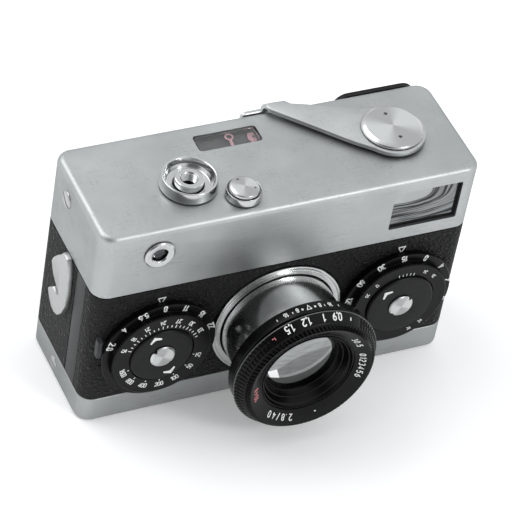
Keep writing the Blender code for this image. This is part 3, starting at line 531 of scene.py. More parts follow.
def ribbon(line, width, low, high):
    # a flat bar along a line: at each point two corners lie to either side, square to the mean direction,
    # at two heights; on a bend they stand out by 1 / cos of half the bend, up to a limit
    line = np.array(line, float)
    ahead = np.diff(line, axis=0)
    ahead /= np.maximum(np.linalg.norm(ahead, axis=1, keepdims=True), 1e-9)
    after = np.vstack([ahead, ahead[-1:]])
    mean = np.vstack([ahead[:1], ahead]) + after
    mean /= np.maximum(np.linalg.norm(mean, axis=1, keepdims=True), 1e-9)
    mitre = 1.0 / np.maximum(np.sum(mean * after, axis=1, keepdims=True), 0.55)
    side = np.stack([-mean[:, 1], mean[:, 0]], -1) * mitre * width / 2
    corners = ((line + side, low), (line + side, high), (line - side, high), (line - side, low))
    ring = [np.column_stack([p, np.full(len(p), height)]) for p, height in corners]
    return np.stack(ring, 1).reshape(-1, 3), cappedFaces(len(line), 4)


def writeOn(name, labels, place, stroke, depth, material, body):
    # labels are (text, position, height, spacing); place(position, across, up, lift) gives points on the
    # surface
    verts, faces, total = [], [], 0
    for text, position, height, spacing in labels:
        widths = [figures[char][0] * height * spacing for char in text]
        start = -sum(widths) / 2
        for char, width in zip(text, widths):
            for line in figures[char][1]:
                line = np.array(line) * height + (start, -height / 2)
                flat, quads = ribbon(line, stroke, -0.03, depth)
                verts.append(place(position, flat[:, 0], flat[:, 1], flat[:, 2]))
                faces += (np.array(quads) + total).tolist()
                total += len(flat)
            start += width
    makePiece(name, np.concatenate(verts) * mm, faces, material, body, weld=False)


def onDial(cx, front):
    # text on a flat dial face, round its axis at an (angle, radius): tops point to the centre
    def place(position, across, up, lift):
        reach = position[1] - up
        t = math.radians(position[0]) + across / position[1]
        return np.stack([cx + reach * np.cos(t), -(front + lift), hub["z"] + reach * np.sin(t)], -1)
    return place


def onCone(radius, ahead, slope):
    # text on a ring round the lens axis, at an angle; tops point forward, and the radius falls by the slope
    # for each millimetre forward
    def place(position, across, up, lift):
        run = 1.0 / math.hypot(1.0, slope)
        reach = radius - slope * up * run + lift
        t = math.radians(position) + across / radius
        return np.stack([reach * np.cos(t), -(ahead + up * run), lens["z"] + reach * np.sin(t)], -1)
    return place


def onNameRing(position, across, up, lift):
    # text on the inner cone of the front ring, at an (angle, radius); tops point outward
    reach = position[1] + up * 0.86
    t = math.radians(position[0]) - across / position[1]
    front = 34.95 + (reach - 12.2) * 0.60 + lift
    return np.stack([reach * np.cos(t), -front, lens["z"] + reach * np.sin(t)], -1)


def onFront(position, across, up, lift):
    return np.stack([position[0] + across, -(casing["halfY"] + lift), position[1] + up], -1)


def onCounter(position, across, up, lift):
    # text on the underside of the frame counter, at an (angle, radius) from its axis
    reach = position[1] - up
    t = math.radians(position[0]) - across / position[1]
    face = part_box("frame_counter")[0][2] / mm
    return np.stack([-1.5 + reach * np.cos(t), 7.0 + reach * np.sin(t), face - lift], -1)


print("helpers ready")


casing = dict(halfX=48.5, halfY=16.0, corner=3.9)
half = (casing["halfX"], casing["halfY"])
coverShell = dict(foot=41.2, top=60.0, edge=1.6, wall=0.9)
trayShell = dict(floor=1.2, top=7.36, edge=1.0, wall=0.9)
leatherFit = dict(low=7.66, high=40.95, thickness=0.8, frontEnd=-10.2, backEnd=-4.7)
hub = dict(left=-31.3, right=31.1, z=22.8)
lens = dict(z=22.6, teeth=96)
axis = (0, 0, lens["z"])
release, lock, wind = (-22.5, -3.4, 0), (-11.45, -10.0, 0), (31.4, 0, 0)
cell = (-33.9, 0, 52.7)


def coverProfile(foot, top, edge, wall):
    # (inset, height) from the roof's underside down the inner side, round the rim and up to the rounded
    # outer edge
    t = np.radians(np.linspace(0, 90, 9))
    outer = [(edge - edge * math.cos(a), top - edge + edge * math.sin(a)) for a in t]
    inner = [(wall + (edge - wall) * (1 - math.cos(a)),
              top - edge + (edge - wall) * math.sin(a)) for a in t[::-1]]
    return inner + [(wall, foot + 0.1), (wall - 0.1, foot), (0.12, foot), (0.0, foot + 0.12)] + outer


def trayProfile(floor, top, edge, wall):
    # (inset, height) from the base up round its edge to the rim, and down inside to the floor
    t = np.radians(np.linspace(90, 0, 6))
    outer = [(edge - edge * math.cos(a), edge - edge * math.sin(a)) for a in t]
    return outer + [(0.0, top - 0.12), (0.12, top), (wall - 0.1, top), (wall, top - 0.1),
                    (wall, floor + 0.8), (wall + 0.8, floor)]


cover = slabPiece("topCover", half, casing["corner"], coverProfile(**coverShell), satin, "camera",
                  replaced=("top_cover",), count=16)
carve(cover,
      boxCutter("cutMeter", (-15.3, 6.45, 55), (0.95, 11.9, 65), 0.9),
      boxCutter("cutFinder", (25.9, -20, 44.95), (43.85, -12, 56.35), 0.5, "Y"),
      boxCutter("cutEyepiece", (26.5, 12, 47.0), (42.0, 20, 57.0), 0.8, "Y"),
      roundCutter("cutRelease", release, 3.7, 55, 65),
      roundCutter("cutLock", lock, 2.2, 55, 65),
      roundCutter("cutWind", wind, 3.3, 55, 65),
      roundCutter("cutCell", cell, 2.6, 12, 20, "Y"))
tray = slabPiece("baseTray", half, casing["corner"], trayProfile(**trayShell), satinTray, "back_shell",
                 replaced=("base_tray",), count=16)
carve(tray,
      roundCutter("cutCrank", (-31.0, 0.5, 0), 9.4, -2, 3),
      roundCutter("cutTripod", (-10.5, -4.0, 0), 5.5, -2, 3),
      roundCutter("cutKey", (39.0, 0, 0), 5.0, -2, 3),
      boxCutter("cutShoe", (7.7, -10.5, -2), (30.3, 18, 3.6), 0.6),
      boxCutter("cutCounter", (-3.7, 9.2, -2), (0.7, 11.8, 3), 0.5),
      roundCutter("cutFlange", axis, 17.4, 13, 18, "Y", 96))
print("covers done")


def wrapPiece(name, first, sign, end, body, replaced):
    # a wall on half of the casing's outline, from one side at y = end round two corners to the other side:
    # a closed (inset, height) profile carried along the outline
    corners, normals = rectPath(*half, casing["corner"], 16)
    pick = slice(first, first + 32)
    side = np.array([[sign, 0.0]])
    reach = casing["halfX"] - casing["corner"]
    middle = np.vstack([[[sign * reach, end]], corners[pick], [[-sign * reach, end]]])
    direction = np.vstack([side, normals[pick], -side])
    low, high, deep = leatherFit["low"], leatherFit["high"], leatherFit["thickness"]
    profile = [(deep, low), (0.18, low), (0.05, low + 0.06), (0.0, low + 0.2), (0.0, high - 0.2),
               (0.05, high - 0.06), (0.18, high), (deep, high)]
    rows = [np.column_stack([middle + direction * (casing["corner"] - inset), np.full(len(middle), height)])
            for inset, height in profile]
    starts = np.arange(len(profile)) * len(middle)
    faces = gridFaces(len(profile), len(middle), True, False)
    faces += [starts.tolist(), (starts + len(middle) - 1).tolist()]
    return makePiece(name, np.concatenate(rows) * mm, faces, leather, body, replaced)


frontCover = wrapPiece("frontLeather", 32, -1.0, leatherFit["frontEnd"], "camera", ("front_leather",))
carve(frontCover,
      roundCutter("cutLensHole", axis, 17.1, 10, 20, "Y", 96),
      roundCutter("cutHubLeft", (hub["left"], 0, hub["z"]), 4.2, 10, 20, "Y"),
      roundCutter("cutHubRight", (hub["right"], 0, hub["z"]), 4.2, 10, 20, "Y"))
wrapPiece("backLeather", 0, 1.0, leatherFit["backEnd"], "back_shell", ("back_leather",))

band = dict(inner=47.75, outer=48.45, front=-10.08, back=-4.82, low=7.7, high=40.92, edge=0.12)
for name, sign in (("bandLeft", -1), ("bandRight", 1)):
    # smooth strip between the two coverings on a side, flush with them
    near, far = sorted((sign * band["inner"], sign * band["outer"]))
    strip = boxCutter(name, (near, band["front"], band["low"]), (far, band["back"], band["high"]),
                      band["edge"], "Z", 4)
    strip.data.materials[0] = bandGrey
    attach(strip, "camera")
print("leather done")


turnedPiece("flangeRing", [(14.85, 16.72), (16.0, 16.75), (16.08, 16.62), (16.2, 16.62), (16.28, 16.74),
                           (16.7, 16.7), (16.88, 16.45), (16.88, 15.1), (14.85, 15.1)], axis, "Y",
            hazyChrome, "camera", 192, 0.05, replaced=("lens_flange",))
turnedPiece("lensTube", [(14.5, 29.4), (14.5, 8.6), (13.6, 8.6), (13.6, 29.4)], axis, "Y", hazyChrome,
            "lens_barrel", 192, 0.1, replaced=("lens_tube",))
turnedPiece("scaleRing", [(17.85, 32.2), (18.0, 31.95), (18.0, 29.2), (17.75, 28.95), (14.8, 28.95),
                          (14.8, 32.2)], axis, "Y", blackRing, "lens_barrel", 192, 0.1,
            replaced=("scale_ring",))


def focusKnurl(radius, height, t):
    # two rows of blocks on the cone: the radius falls where sin(teeth t) is low and in a narrow groove
    # half-way, but not over the figures, where the depth fades to nothing
    cone = dict(radius=16.6, back=33.15, front=35.75, groove=34.45, width=0.14)
    angle = (np.degrees(t) + 360) % 360
    window = np.clip((np.abs(angle - 91.0) - 41.0) / 2.0, 0, 1)
    block = np.clip(np.sin(t * lens["teeth"]) * 3.0, -1, 1) * 0.5 + 0.5
    on = (radius > cone["radius"]) & (height > cone["back"]) & (height < cone["front"])
    groove = np.exp(-((height - cone["groove"]) / cone["width"]) ** 2)
    depth = (0.42 * (1 - block) + 0.34 * groove) * window
    return radius - np.where(on, depth, 0.0), height


coneRows = [(18.35 - (h - 33.4) * 0.62, h) for h in np.linspace(33.4, 35.75, 22)]
focusProfile = [(13.6, 33.0), (18.0, 33.0), (18.35, 33.15)] + coneRows
focusProfile += [(16.7, 35.85), (14.6, 35.85), (13.6, 34.5)]
turnedPiece("focusRing", focusProfile, axis, "Y", blackRing, "focus", lens["teeth"] * 10, 0,
            change=focusKnurl, replaced=("focus_ring",))
turnedPiece("focusRim", [(18.42, 33.34), (18.46, 33.2), (18.42, 33.06), (18.0, 33.06), (18.0, 33.34)], axis,
            "Y", darkSteel, "focus", 192, 0.02)


def bevelTeeth(radius, height, t):
    # slanted teeth on the front bevel: a triangle wave of teeth t + 3.4 h lowers the radius and the height
    back, front = 35.92, 36.86
    on = (height > back) & (height < front) & (radius > 15.3)
    phase = t * lens["teeth"] + (height - 35.9) * 3.4
    tooth = np.abs(((phase / (2 * math.pi)) % 1.0) * 2 - 1)
    fade = np.clip(np.minimum(height - back, front - height) / 0.12, 0, 1)
    return radius - np.where(on, 0.48 * tooth * fade, 0.0), height - np.where(on, 0.30 * tooth * fade, 0.0)


bevelRows = [(16.72 - (h - 35.95) * 1.30, h) for h in np.linspace(35.95, 36.85, 12)]
nameRows = [(15.25, 36.78), (12.2, 34.95)]
ridges = [(12.05, 35.0), (11.95, 34.75), (11.75, 34.75), (11.65, 34.98), (11.5, 34.98), (11.42, 34.7)]
funnel = [(11.1, 34.2), (10.9, 34.1), (10.2, 32.7), (10.0, 32.6), (9.5, 31.5), (9.3, 31.2), (9.3, 27.2)]
inside = [(9.75, 27.2), (9.75, 31.1), (11.5, 33.9), (14.3, 35.95), (16.6, 35.9)]
turnedPiece("frontRing", inside + bevelRows + nameRows + ridges + funnel, axis, "Y", blackRing, "focus",
            lens["teeth"] * 10, 0, change=bevelTeeth, replaced=("front_ring",),
            sharp=28)

# the domed front element and its rim, both recessed in the funnel
domeRows = [(9.15 * math.sin(a), 30.95 + 1.45 * math.cos(a)) for a in np.linspace(math.pi / 2, 0, 20)]
turnedPiece("frontGlass", [(0, 29.6), (9.15, 29.6)] + domeRows, axis, "Y", lensPaintedReflection, "focus", 128, 0,
            closed=False, replaced=("front_lens",))
turnedPiece("elementRim", [(9.4, 31.25), (9.4, 30.2), (9.0, 30.2), (9.05, 31.2)], axis, "Y", deepBlack,
            "focus", 128, 0.05)
print("lens done")

distance = dict(radius=17.72, ahead=34.42, slope=0.62)
labels = [("1,5", 113.8, 1.95, 1.12), ("1,2", 99.9, 1.95, 1.12), ("1", 85.2, 1.95, 1.1),
          ("0,9", 73.7, 1.95, 1.05), ("'", 60.5, 1.8, 1.0)]
writeOn("distanceFigures", labels, onCone(**distance), 0.31, 0.035, whiteMark, "focus")
labels = [("-", 128.4, 1.5, 1.0), ("'", 126.8, 1.6, 1.0)]
writeOn("infraredMarks", labels, onCone(**distance), 0.22, 0.035, redMark, "focus")
labels = [("'", 118.6, 1.3, 1.0), ("16", 111.0, 1.3, 1.1), ("'", 105.7, 1.3, 1.0), ("8", 101.8, 1.3, 1.1),
          ("\"", 97.8, 1.3, 1.0), ("v", 92.6, 1.5, 1.0), ("\"", 87.6, 1.3, 1.0), ("8", 83.5, 1.3, 1.1),
          ("'", 79.6, 1.3, 1.0), ("16", 74.6, 1.3, 1.1), ("'", 67.1, 1.3, 1.0)]
writeOn("depthFigures", labels, onCone(18.0, 30.6, 0.0), 0.21, 0.03, whiteMark, "lens_barrel")
labels = [("2.8/40", (242.5, 13.75), 1.75, 1.7), ("30.5", (35, 13.75), 1.6, 1.5),
          ("0123456", (-2, 13.75), 1.6, 1.5), ("-", (285, 13.65), 1.5, 1.0)]
writeOn("ringFigures", labels, onNameRing, 0.24, 0.03, whiteMark, "focus")
writeOn("ringTicks", [("1048", (190, 13.75), 1.6, 1.5)], onNameRing, 0.24, 0.03, redMark, "focus")

dials = {
    "aperture": dict(x=hub["left"], radius=7.9, front=20.35, insertBody="film_speed", lean=-1),
    "speed": dict(x=hub["right"], radius=8.8, front=20.6, insertBody="film_type", lean=1),
}
dialFace = dict(front=18.24, radius=13.45, height=1.8, spacing=1.12, stroke=0.32, lift=0.05)


def dialKnurl(radius, height, t):
    # fine straight knurl round the rim: the radius falls where sin(120 t) is low
    on = (radius > 12.2) & (height > 18.35) & (height < 19.85)
    wave = np.clip(np.sin(t * 120) * 2.2, -1, 1) * 0.5 + 0.5
    return radius - np.where(on, 0.26 * (1 - wave), 0.0), height


def buildDial(name, x, radius, front, insertBody, lean):
    # knurled dial, the flat insert that turns inside it, and the slotted cap on both
    centre = (x, 0, hub["z"])
    holder = name + "_dial"
    step = [(radius + 0.25, 19.55), (radius + 0.35, 19.88), (12.25, 19.92)]
    rim = [(12.6, h) for h in np.linspace(19.7, 18.4, 10)]
    flange = [(12.5, 18.25), (14.3, 18.22), (14.42, 18.05), (14.42, 17.6), (14.0, 16.3)]
    bore = [(2.1, 16.3), (2.1, 12.9), (1.2, 12.9), (1.2, 19.2), (radius + 0.25, 19.2)]
    turnedPiece(name + "Dial", step + rim + flange + bore, centre, "Y", blackAlloy, holder, 120 * 6, 0,
                change=dialKnurl, replaced=(holder,))
    insert = [(1.2, front), (radius - 0.35, front), (radius, front - 0.3), (radius, 19.5), (1.2, 19.5)]
    turnedPiece(name + "Insert", insert, centre, "Y", blackDisc, insertBody, 128, 0.1,
                replaced=(insertBody + "_disc",))
    spun = spunMetalPaintedSheen(name + "CapMetal", (0.60, 0.61, 0.605), centre, 0.26, "Z")
    disc = [(0, front + 0.62), (2.75, front + 0.62), (3.15, front + 0.3), (3.15, front + 0.12)]
    shaft = [(0.9, front + 0.12), (0.9, 14.0), (0, 14.0)]
    cap = turnedPiece(name + "Cap", disc + shaft, centre, "Y", spun, holder, 96, 0.1, closed=False,
                      replaced=(name + "_cap",))
    reach = 3.1 * math.sqrt(0.5)
    spots = [(x + sign * reach * lean, hub["z"] + sign * reach) for sign in (1, -1)]
    near, far, wide = -(front + 0.05), -(front + 1.2), 0.45
    carve(cap, *[boxCutter("capNotch", (sx - wide, far, sz - wide), (sx + wide, near, sz + wide))
                 for sx, sz in spots])


def writeDial(name, dial, marks):
    # figures at given angles on the flange of a dial
    labels = [(text, (angle, dialFace["radius"]), dialFace["height"], dialFace["spacing"])
              for text, angle in marks]
    writeOn(name, labels, onDial(dials[dial]["x"], dialFace["front"]), dialFace["stroke"], dialFace["lift"],
            whiteMark, dial + "_dial")


for name, values in dials.items():
    buildDial(name, **values)
stops = ("2.8", "4", "5.6", "8", "11", "16", "22")
writeDial("apertureFigures", "aperture", [(text, 160.5 - 23.5 * index) for index, text in enumerate(stops)])
writeDial("speedFigures", "speed", (("500", 222), ("250", 196), ("125", 170), ("60", 144), ("30", 117),
                                    ("15", 91), ("8", 65), ("4", 38), ("2", 12), ("B", -14)))

slow = (("15", 158), ("18", 137), ("21", 116), ("24", 95), ("27", 73), ("30", 52), ("33", 31))
fast = (("25", -16), ("50", -38), ("100", -64), ("200", -87), ("400", -112), ("800", -136), ("1600", -159))
labels = [(text, (angle, 10.75), 1.35, 1.05) for text, angle in slow]
labels += [(text, (angle, 10.1), 1.4, 1.0) for text, angle in fast]
labels += [("|", (158 - 7.05 * index, 9.15), 0.62 if index % 3 else 0.9, 1.0) for index in range(20)]
labels += [("|", (-15 - 8.0 * index, 8.75), 0.45, 1.0) for index in range(0, 19, 3)]
writeOn("filmFigures", labels, onDial(hub["left"], 19.9), 0.20, 0.04, whiteMark, "aperture_dial")
lengths = (("12", 133), ("20", 152), ("24", 60), ("36", 42), ("24", -48), ("36", -66), ("12", -132))
labels = [("|", (100 - 6 * index, 9.5), 0.8, 1.0) for index in range(5)]
labels += [(text, (angle, 10.7), 1.0, 1.1) for text, angle in lengths]
writeOn("lengthFigures", labels, onDial(hub["right"], 19.9), 0.15, 0.04, whiteMark, "speed_dial")


def arrowHead(name, dial, angle, radius, size=1.25):
    # a flat wedge with a bent outer edge, pointing away from the dial's centre: each point of the outline
    # goes to side * across + out * (up + radius)
    outline = [(-1.25, -0.1), (0.0, 1.0), (1.25, -0.1), (1.1, -0.45), (0.0, 0.1), (-1.1, -0.45)]
    outline = np.array(outline) * size
    t = math.radians(angle)
    side, out = np.array([-math.sin(t), math.cos(t)]), np.array([math.cos(t), math.sin(t)])
    flat = outline[:, :1] * side + (outline[:, 1:] + radius) * out + np.array([dial["x"], hub["z"]])
    verts = [np.column_stack([flat[:, 0], np.full(6, -level), flat[:, 1]])
             for level in (dial["front"] - 0.03, dial["front"] + 0.04)]
    makePiece(name, np.concatenate(verts) * mm, cappedFaces(2, 6), whiteMark, dial["insertBody"])


arrowHead("filmArrowTop", dials["aperture"], 112, 6.1)
arrowHead("filmArrowLow", dials["aperture"], -66, 6.1)
arrowHead("lengthArrow", dials["speed"], 133, 6.3)
labels = [("v", (-31.5, 36.9), 2.3, 1.0), ("v", (30.9, 37.2), 2.3, 1.0)]
writeOn("indexTriangles", labels, onFront, 0.24, 0.16, whiteMark, "camera")
print("dials done")


turnedPiece("releaseCollar", [(6.42, 63.15), (6.62, 63.0), (7.0, 60.55), (6.9, 60.3), (3.75, 60.3),
                              (3.75, 60.62), (5.1, 60.8), (5.75, 61.7), (6.1, 63.0)], release, "Z",
            polished, "camera", 160, 0.14, replaced=("release_collar",))
pitch = 0.28  # of the cable-release thread in the button
thread = [point for step in range(8, -1, -1)
          for point in ((1.72, 61.86 - pitch * step), (1.95, 62.0 - pitch * step))]
buttonTop = [(2.15, 62.3), (3.1, 62.42), (3.4, 62.3), (3.5, 62.0)]
buttonFoot = [(3.5, 58.4), (1.6, 58.4), (1.6, 49.4), (0, 49.4)]
turnedPiece("releaseButton", [(0, 59.5), (1.4, 59.5)] + thread + buttonTop + buttonFoot, release, "Z",
            polished, "release_button", 128, 0.06, closed=False, replaced=("release_button",))
# a black disc in the bore of the thread: painted shade standing in for the depth of the hole
turnedPiece("threadPaintedShade", [(0, 59.9), (1.8, 59.9), (1.8, 59.55), (0, 59.55)], release, "Z", deepBlack,
            "release_button", 48, 0, closed=False)
turnedPiece("lockCollar", [(4.0, 62.15), (4.14, 62.2), (4.25, 62.0), (4.38, 60.5), (4.3, 60.3),
                           (3.98, 60.3), (3.98, 62.0)], lock, "Z", polished, "camera", 128, 0.08,
            replaced=("lens_lock_collar",))
lockMetal = spunMetalPaintedSheen("lockCapMetal", (0.62, 0.63, 0.628), lock, 0.20)
button = turnedPiece("lockButton", [(0, 63.25), (2.4, 63.22), (3.1, 63.1), (3.55, 62.8), (3.72, 62.3),
                                    (3.72, 61.6), (1.7, 61.6), (1.7, 50.0), (0, 50.0)], lock, "Z",
                     lockMetal, "lens_lock", 112, 0.15, closed=False, replaced=("lens_lock_button",))
carve(button, *[roundCutter("lockPin", spot, 0.3, 62.6, 64, steps=24)
                for spot in ((-12.25, -7.6, 0), (-9.35, -11.3, 0))])


def outwardNormals(outline):
    # the outward unit normal at each point of a closed outline: the mean direction of its two sides, turned
    # a right angle, with the sign of the area
    ahead = np.roll(outline, -1, 0) - outline
    ahead /= np.linalg.norm(ahead, axis=1, keepdims=True)
    mean = ahead + np.roll(ahead, 1, 0)
    mean /= np.maximum(np.linalg.norm(mean, axis=1, keepdims=True), 1e-9)
    after = np.roll(outline, -1, 0)
    area = np.sum(outline[:, 0] * after[:, 1] - after[:, 0] * outline[:, 1])
    return np.stack([mean[:, 1], -mean[:, 0]], -1) * np.sign(area)


def sheetPiece(name, outline, low, high, soft, material, body, replaced=()):
    # a flat sheet: its (x, y) outline lifted through (inset, height) rows that soften both edges
    outline = np.array(outline, float)
    outward = outwardNormals(outline)
    profile = ((soft, low), (soft * 0.3, low + soft * 0.3), (0, low + soft), (0, high - soft),
               (soft * 0.3, high - soft * 0.3), (soft, high))
    rows = [np.column_stack([outline - outward * inset, np.full(len(outline), height)])
            for inset, height in profile]
    return makePiece(name, np.concatenate(rows) * mm, cappedFaces(6, len(outline)), material, body,
                     replaced)


# wind lever: a flat sheet whose left end arches down behind the cover into a thumb tab
lever = dict(low=60.75, high=61.95, soft=0.22, boss=8.3, foldHalf=0.5, foldRadius=1.35)
t = np.radians(np.linspace(84, -142, 40))
boss = np.stack([wind[0] + lever["boss"] * np.cos(t), wind[1] + lever["boss"] * np.sin(t)], -1)
blade = [(24.2, -4.5), (21.5, -2.2), (18.7, 0.6), (12.0, 7.7), (6.0, 13.9), (5.5, 14.6), (5.4, 15.4),
         (5.5, 16.2), (10.3, 16.3), (11.5, 14.9), (14.7, 13.8), (19.0, 12.0), (24.5, 9.7), (28.5, 8.6)]
sheetPiece("windLever", np.vstack([boss, blade]), lever["low"], lever["high"], lever["soft"], satinSmall,
           "wind_lever", ("wind_lever",))

# the fold: a flat section, narrowing to the left, swept over a quarter circle and down; its normals are
# square to the line between the neighbouring points
t = np.radians(np.linspace(90, 0, 12))
fold = np.stack([15.6 + lever["foldRadius"] * np.cos(t), 59.98 + lever["foldRadius"] * np.sin(t)], -1)
fold = np.vstack([fold, [(16.95, 58.0), (16.95, 56.2)]])
run = np.vstack([fold[1:], fold[-1:]]) - np.vstack([fold[:1], fold[:-1]])
run /= np.linalg.norm(run, axis=1, keepdims=True)
lift = np.stack([-run[:, 1], run[:, 0]], -1) * lever["foldHalf"]
left, right = np.linspace(5.45, 5.0, len(fold)), np.linspace(10.3, 6.6, len(fold))
ring = [np.column_stack([x, fold + lift * sign])
        for x, sign in ((left, 1), (right, 1), (right, -1), (left, -1))]
makePiece("leverFold", np.stack(ring, 1).reshape(-1, 3) * mm, cappedFaces(len(fold), 4), satinSmall,
          "wind_lever")
slabPiece("thumbTab", (3.3, 2.1), 1.2, [(0.2, 16.38), (0, 16.55), (0, 17.35), (0.2, 17.52)], satinSmall,
          "wind_lever", (3.0, 57.4), True, count=8)

leverMetal = spunMetalPaintedSheen("leverCapMetal", (0.64, 0.65, 0.648), wind, 0.20)
leverCap = turnedPiece("leverCap", [(0, 63.3), (6.55, 63.28), (7.35, 62.75), (7.58, 62.45), (7.58, 62.25),
                                    (2.6, 62.25), (2.6, 59.1), (0, 59.1)], wind, "Z", leverMetal,
                       "wind_lever", 160, 0.1, closed=False, replaced=("lever_cap",))
carve(leverCap, *[roundCutter("leverPin", (wind[0], wind[1] + side, 0), 0.46, 62.6, 64, steps=24)
                  for side in (4.2, -4.2)])
turnedPiece("leverWasher", [(7.95, 60.72), (8.0, 60.35), (3.4, 60.25), (3.4, 60.72)], wind, "Z", darkSteel,
            "camera", 112, 0.05)
print("controls done")


# light meter: scale plate, ring pointer and pentagon pointer under a sunk pane
slabPiece("meterPlate", (8.0, 2.8), 0.6, [(0.0, 56.95), (0.0, 57.5)], meterGrey, "camera", (-7.2, 9.2),
          replaced=("meter_scale",))
pointer = dict(low=58.4, high=58.62, soft=0.03)
turnedPiece("followerRing", [(1.12, pointer["high"]), (1.12, pointer["low"]), (0.66, pointer["low"]),
                             (0.66, pointer["high"])], (-6.0, 10.7, 0), "Z", pinkMark, "follower_needle",
            64, pointer["soft"], replaced=("follower_needle",))
stem = [(-6.42, 9.75), (-6.75, 7.6), (-4.75, 1.7), (-4.25, 1.7), (-5.9, 7.6), (-5.75, 9.75)]
sheetPiece("followerStem", stem, pointer["low"], pointer["high"], pointer["soft"], pinkMark,
           "follower_needle")
needle = [(-1.6, 9.4), (-1.0, 11.2), (0.5, 11.4), (0.6, 8.7), (0.2, 8.3), (-0.6, 7.6), (-4.4, 1.7),
          (-4.7, 1.9), (-1.1, 8.3)]
sheetPiece("needleHead", needle, 57.85, 58.08, pointer["soft"], pinkMark, "meter_needle", ("meter_needle",))
turnedPiece("needleDot", [(0.0, 58.02), (0.42, 58.02), (0.42, 58.16), (0.0, 58.16)], (0.05, 9.75, 0), "Z",
            darkSteel, "meter_needle", 32, 0)
slabPiece("meterPane", (7.8, 2.5), 0.75, [(0.05, 59.1), (0.0, 59.15), (0.0, 59.62), (0.08, 59.7)], clear,
          "camera", (-7.2, 9.17), replaced=("meter_window",))


def tunnelPiece(name, near, far, depth, corner, material, body, replaced):
    # rounded rectangles that pass from the near (halfX, halfZ, x, z) to the far one as share ** 1.2, each
    # let out by a sine of the share, like a bellows; only the far end is closed
    rows = []
    for share in np.linspace(0, 1, 26):
        halfX, halfZ, x, z = np.array(near) + (np.array(far) - near) * share ** 1.2
        corners, normals = rectPath(halfX, halfZ, corner, 8)
        ring = corners + normals * (corner + 0.10 * math.sin(share * 40)) + np.array([x, z])
        rows.append(np.column_stack([ring[:, 0], np.full(len(ring), depth[0] + share * depth[1]),
                                     ring[:, 1]]))
    faces = cappedFaces(len(rows), len(rows[0]))
    del faces[-2]  # the near end stays open
    return makePiece(name, np.concatenate(rows) * mm, faces, material, body, replaced)


def framePiece(name, outer, inner, radii, front, back, lip, material, body, replaced):
    # a rectangular ring: outer wall, softened face and inner wall, all (outline, radius, inset, y) rows;
    # each outline is (halfX, halfZ, x, z)
    profile = ((outer, radii[0], 0.0, back), (outer, radii[0], 0.0, front + lip),
               (outer, radii[0], lip * 0.3, front + lip * 0.3), (outer, radii[0], lip, front),
               (inner, radii[1], -lip, front), (inner, radii[1], 0.0, front + lip),
               (inner, radii[1], 0.0, back))
    rows = []
    for outline, radius, inset, y in profile:
        corners, normals = rectPath(outline[0], outline[1], radius, 8)
        ring = corners + normals * (radius - inset) + np.array(outline[2:])
        rows.append(np.column_stack([ring[:, 0], np.full(len(ring), y), ring[:, 1]]))
    faces = gridFaces(len(rows), len(rows[0]), True, True)
    return makePiece(name, np.concatenate(rows) * mm, faces, material, body, replaced)


# finder: silvered tunnel, a black step behind the cover's opening, and a bevelled pane that meets the
# opening's left and top; at the back a frame and its pane
tunnelPiece("finderTunnel", (7.9, 5.0, 35.3, 51.6), (3.3, 2.6, 33.2, 53.0), (-13.2, 13.0), 1.2, tunnelGrey,
            "camera", ("finder_tunnel",))
framePiece("finderFrame", (9.4, 6.2, 34.95, 51.3), (6.6, 3.4, 34.0, 51.8), (0.9, 0.7), -15.2, -14.3, 0.12,
           deepBlack, "camera", ("finder_frame",))
# the pane's colour holds painted light and reflections
slabPiece("finderPane", (8.55, 5.5), 0.5, [(0.32, -15.72), (0.05, -15.5), (0.0, -15.4), (0.0, -15.25)],
          paintedFinderLight, "camera", (34.3, 51.75), True, ("finder_front_lens",), 6)
framePiece("eyepieceFrame", (10.8, 7.5, 35.0, 51.9), (4.2, 3.2, 34.0, 52.4), (3.6, 1.6), 17.1, 16.15, -0.2,
           blackPlastic, "camera", ("eyepiece_frame",))
framePiece("eyepieceGlass", (4.1, 3.1, 34.0, 52.4), (0.2, 0.2, 34.0, 52.4), (1.5, 0.15), 16.6, 15.2, -0.1,
           clear, "camera", ("eyepiece_lens",))

turnedPiece("cellBezel", [(3.4, 16.85), (3.8, 16.5), (3.8, 16.2), (1.85, 16.2), (1.85, 16.4), (2.1, 16.75)],
            cell, "Y", polished, "camera", 96, 0.15, replaced=("cell_bezel",))
turnedPiece("cellGlass", [(0, 16.35), (1.2, 16.25), (1.78, 15.9), (1.78, 15.2), (0, 15.2)], cell, "Y",
            cellPaintedReflection, "camera", 64, 0.08, closed=False, replaced=("light_cell",))
print("windows done")


lug = dict(inner=-48.55, outer=-49.8, soft=0.4)
lugOutline = [(2.2, 39.7), (1.4, 40.9), (0.0, 41.2), (-1.2, 41.0), (-2.2, 39.8), (-2.9, 36.5), (-3.2, 31.3),
              (-2.9, 27.2), (-1.5, 23.5), (0.6, 21.0), (2.6, 20.2), (4.2, 20.5), (5.6, 21.6), (6.6, 22.9),
              (7.1, 24.2), (6.6, 24.9), (5.2, 26.2), (4.6, 26.8), (3.6, 26.8), (2.6, 26.4), (1.7, 26.7),
              (1.4, 27.5), (2.2, 28.4), (3.6, 29.2), (5.4, 30.4), (6.2, 31.6), (7.0, 33.2), (6.3, 35.0),
              (4.4, 37.4)]


def lugPiece(name, outline, inner, outer, soft, body, replaced):
    # the hook's (y, z) outline lifted through (inset, x) rows, softened on the face away from the camera
    outline = np.array(outline)
    outward = outwardNormals(outline)
    profile = ((0, inner), (0, outer + soft), (soft * 0.3, outer + soft * 0.3), (soft, outer))
    rows = [np.column_stack([np.full(len(outline), x), outline - outward * inset]) for inset, x in profile]
    return makePiece(name, np.concatenate(rows) * mm, cappedFaces(4, len(outline)), steel, body, replaced)


lugPiece("strapLug", lugOutline, **lug, body="back_shell", replaced=("strap_lug",))

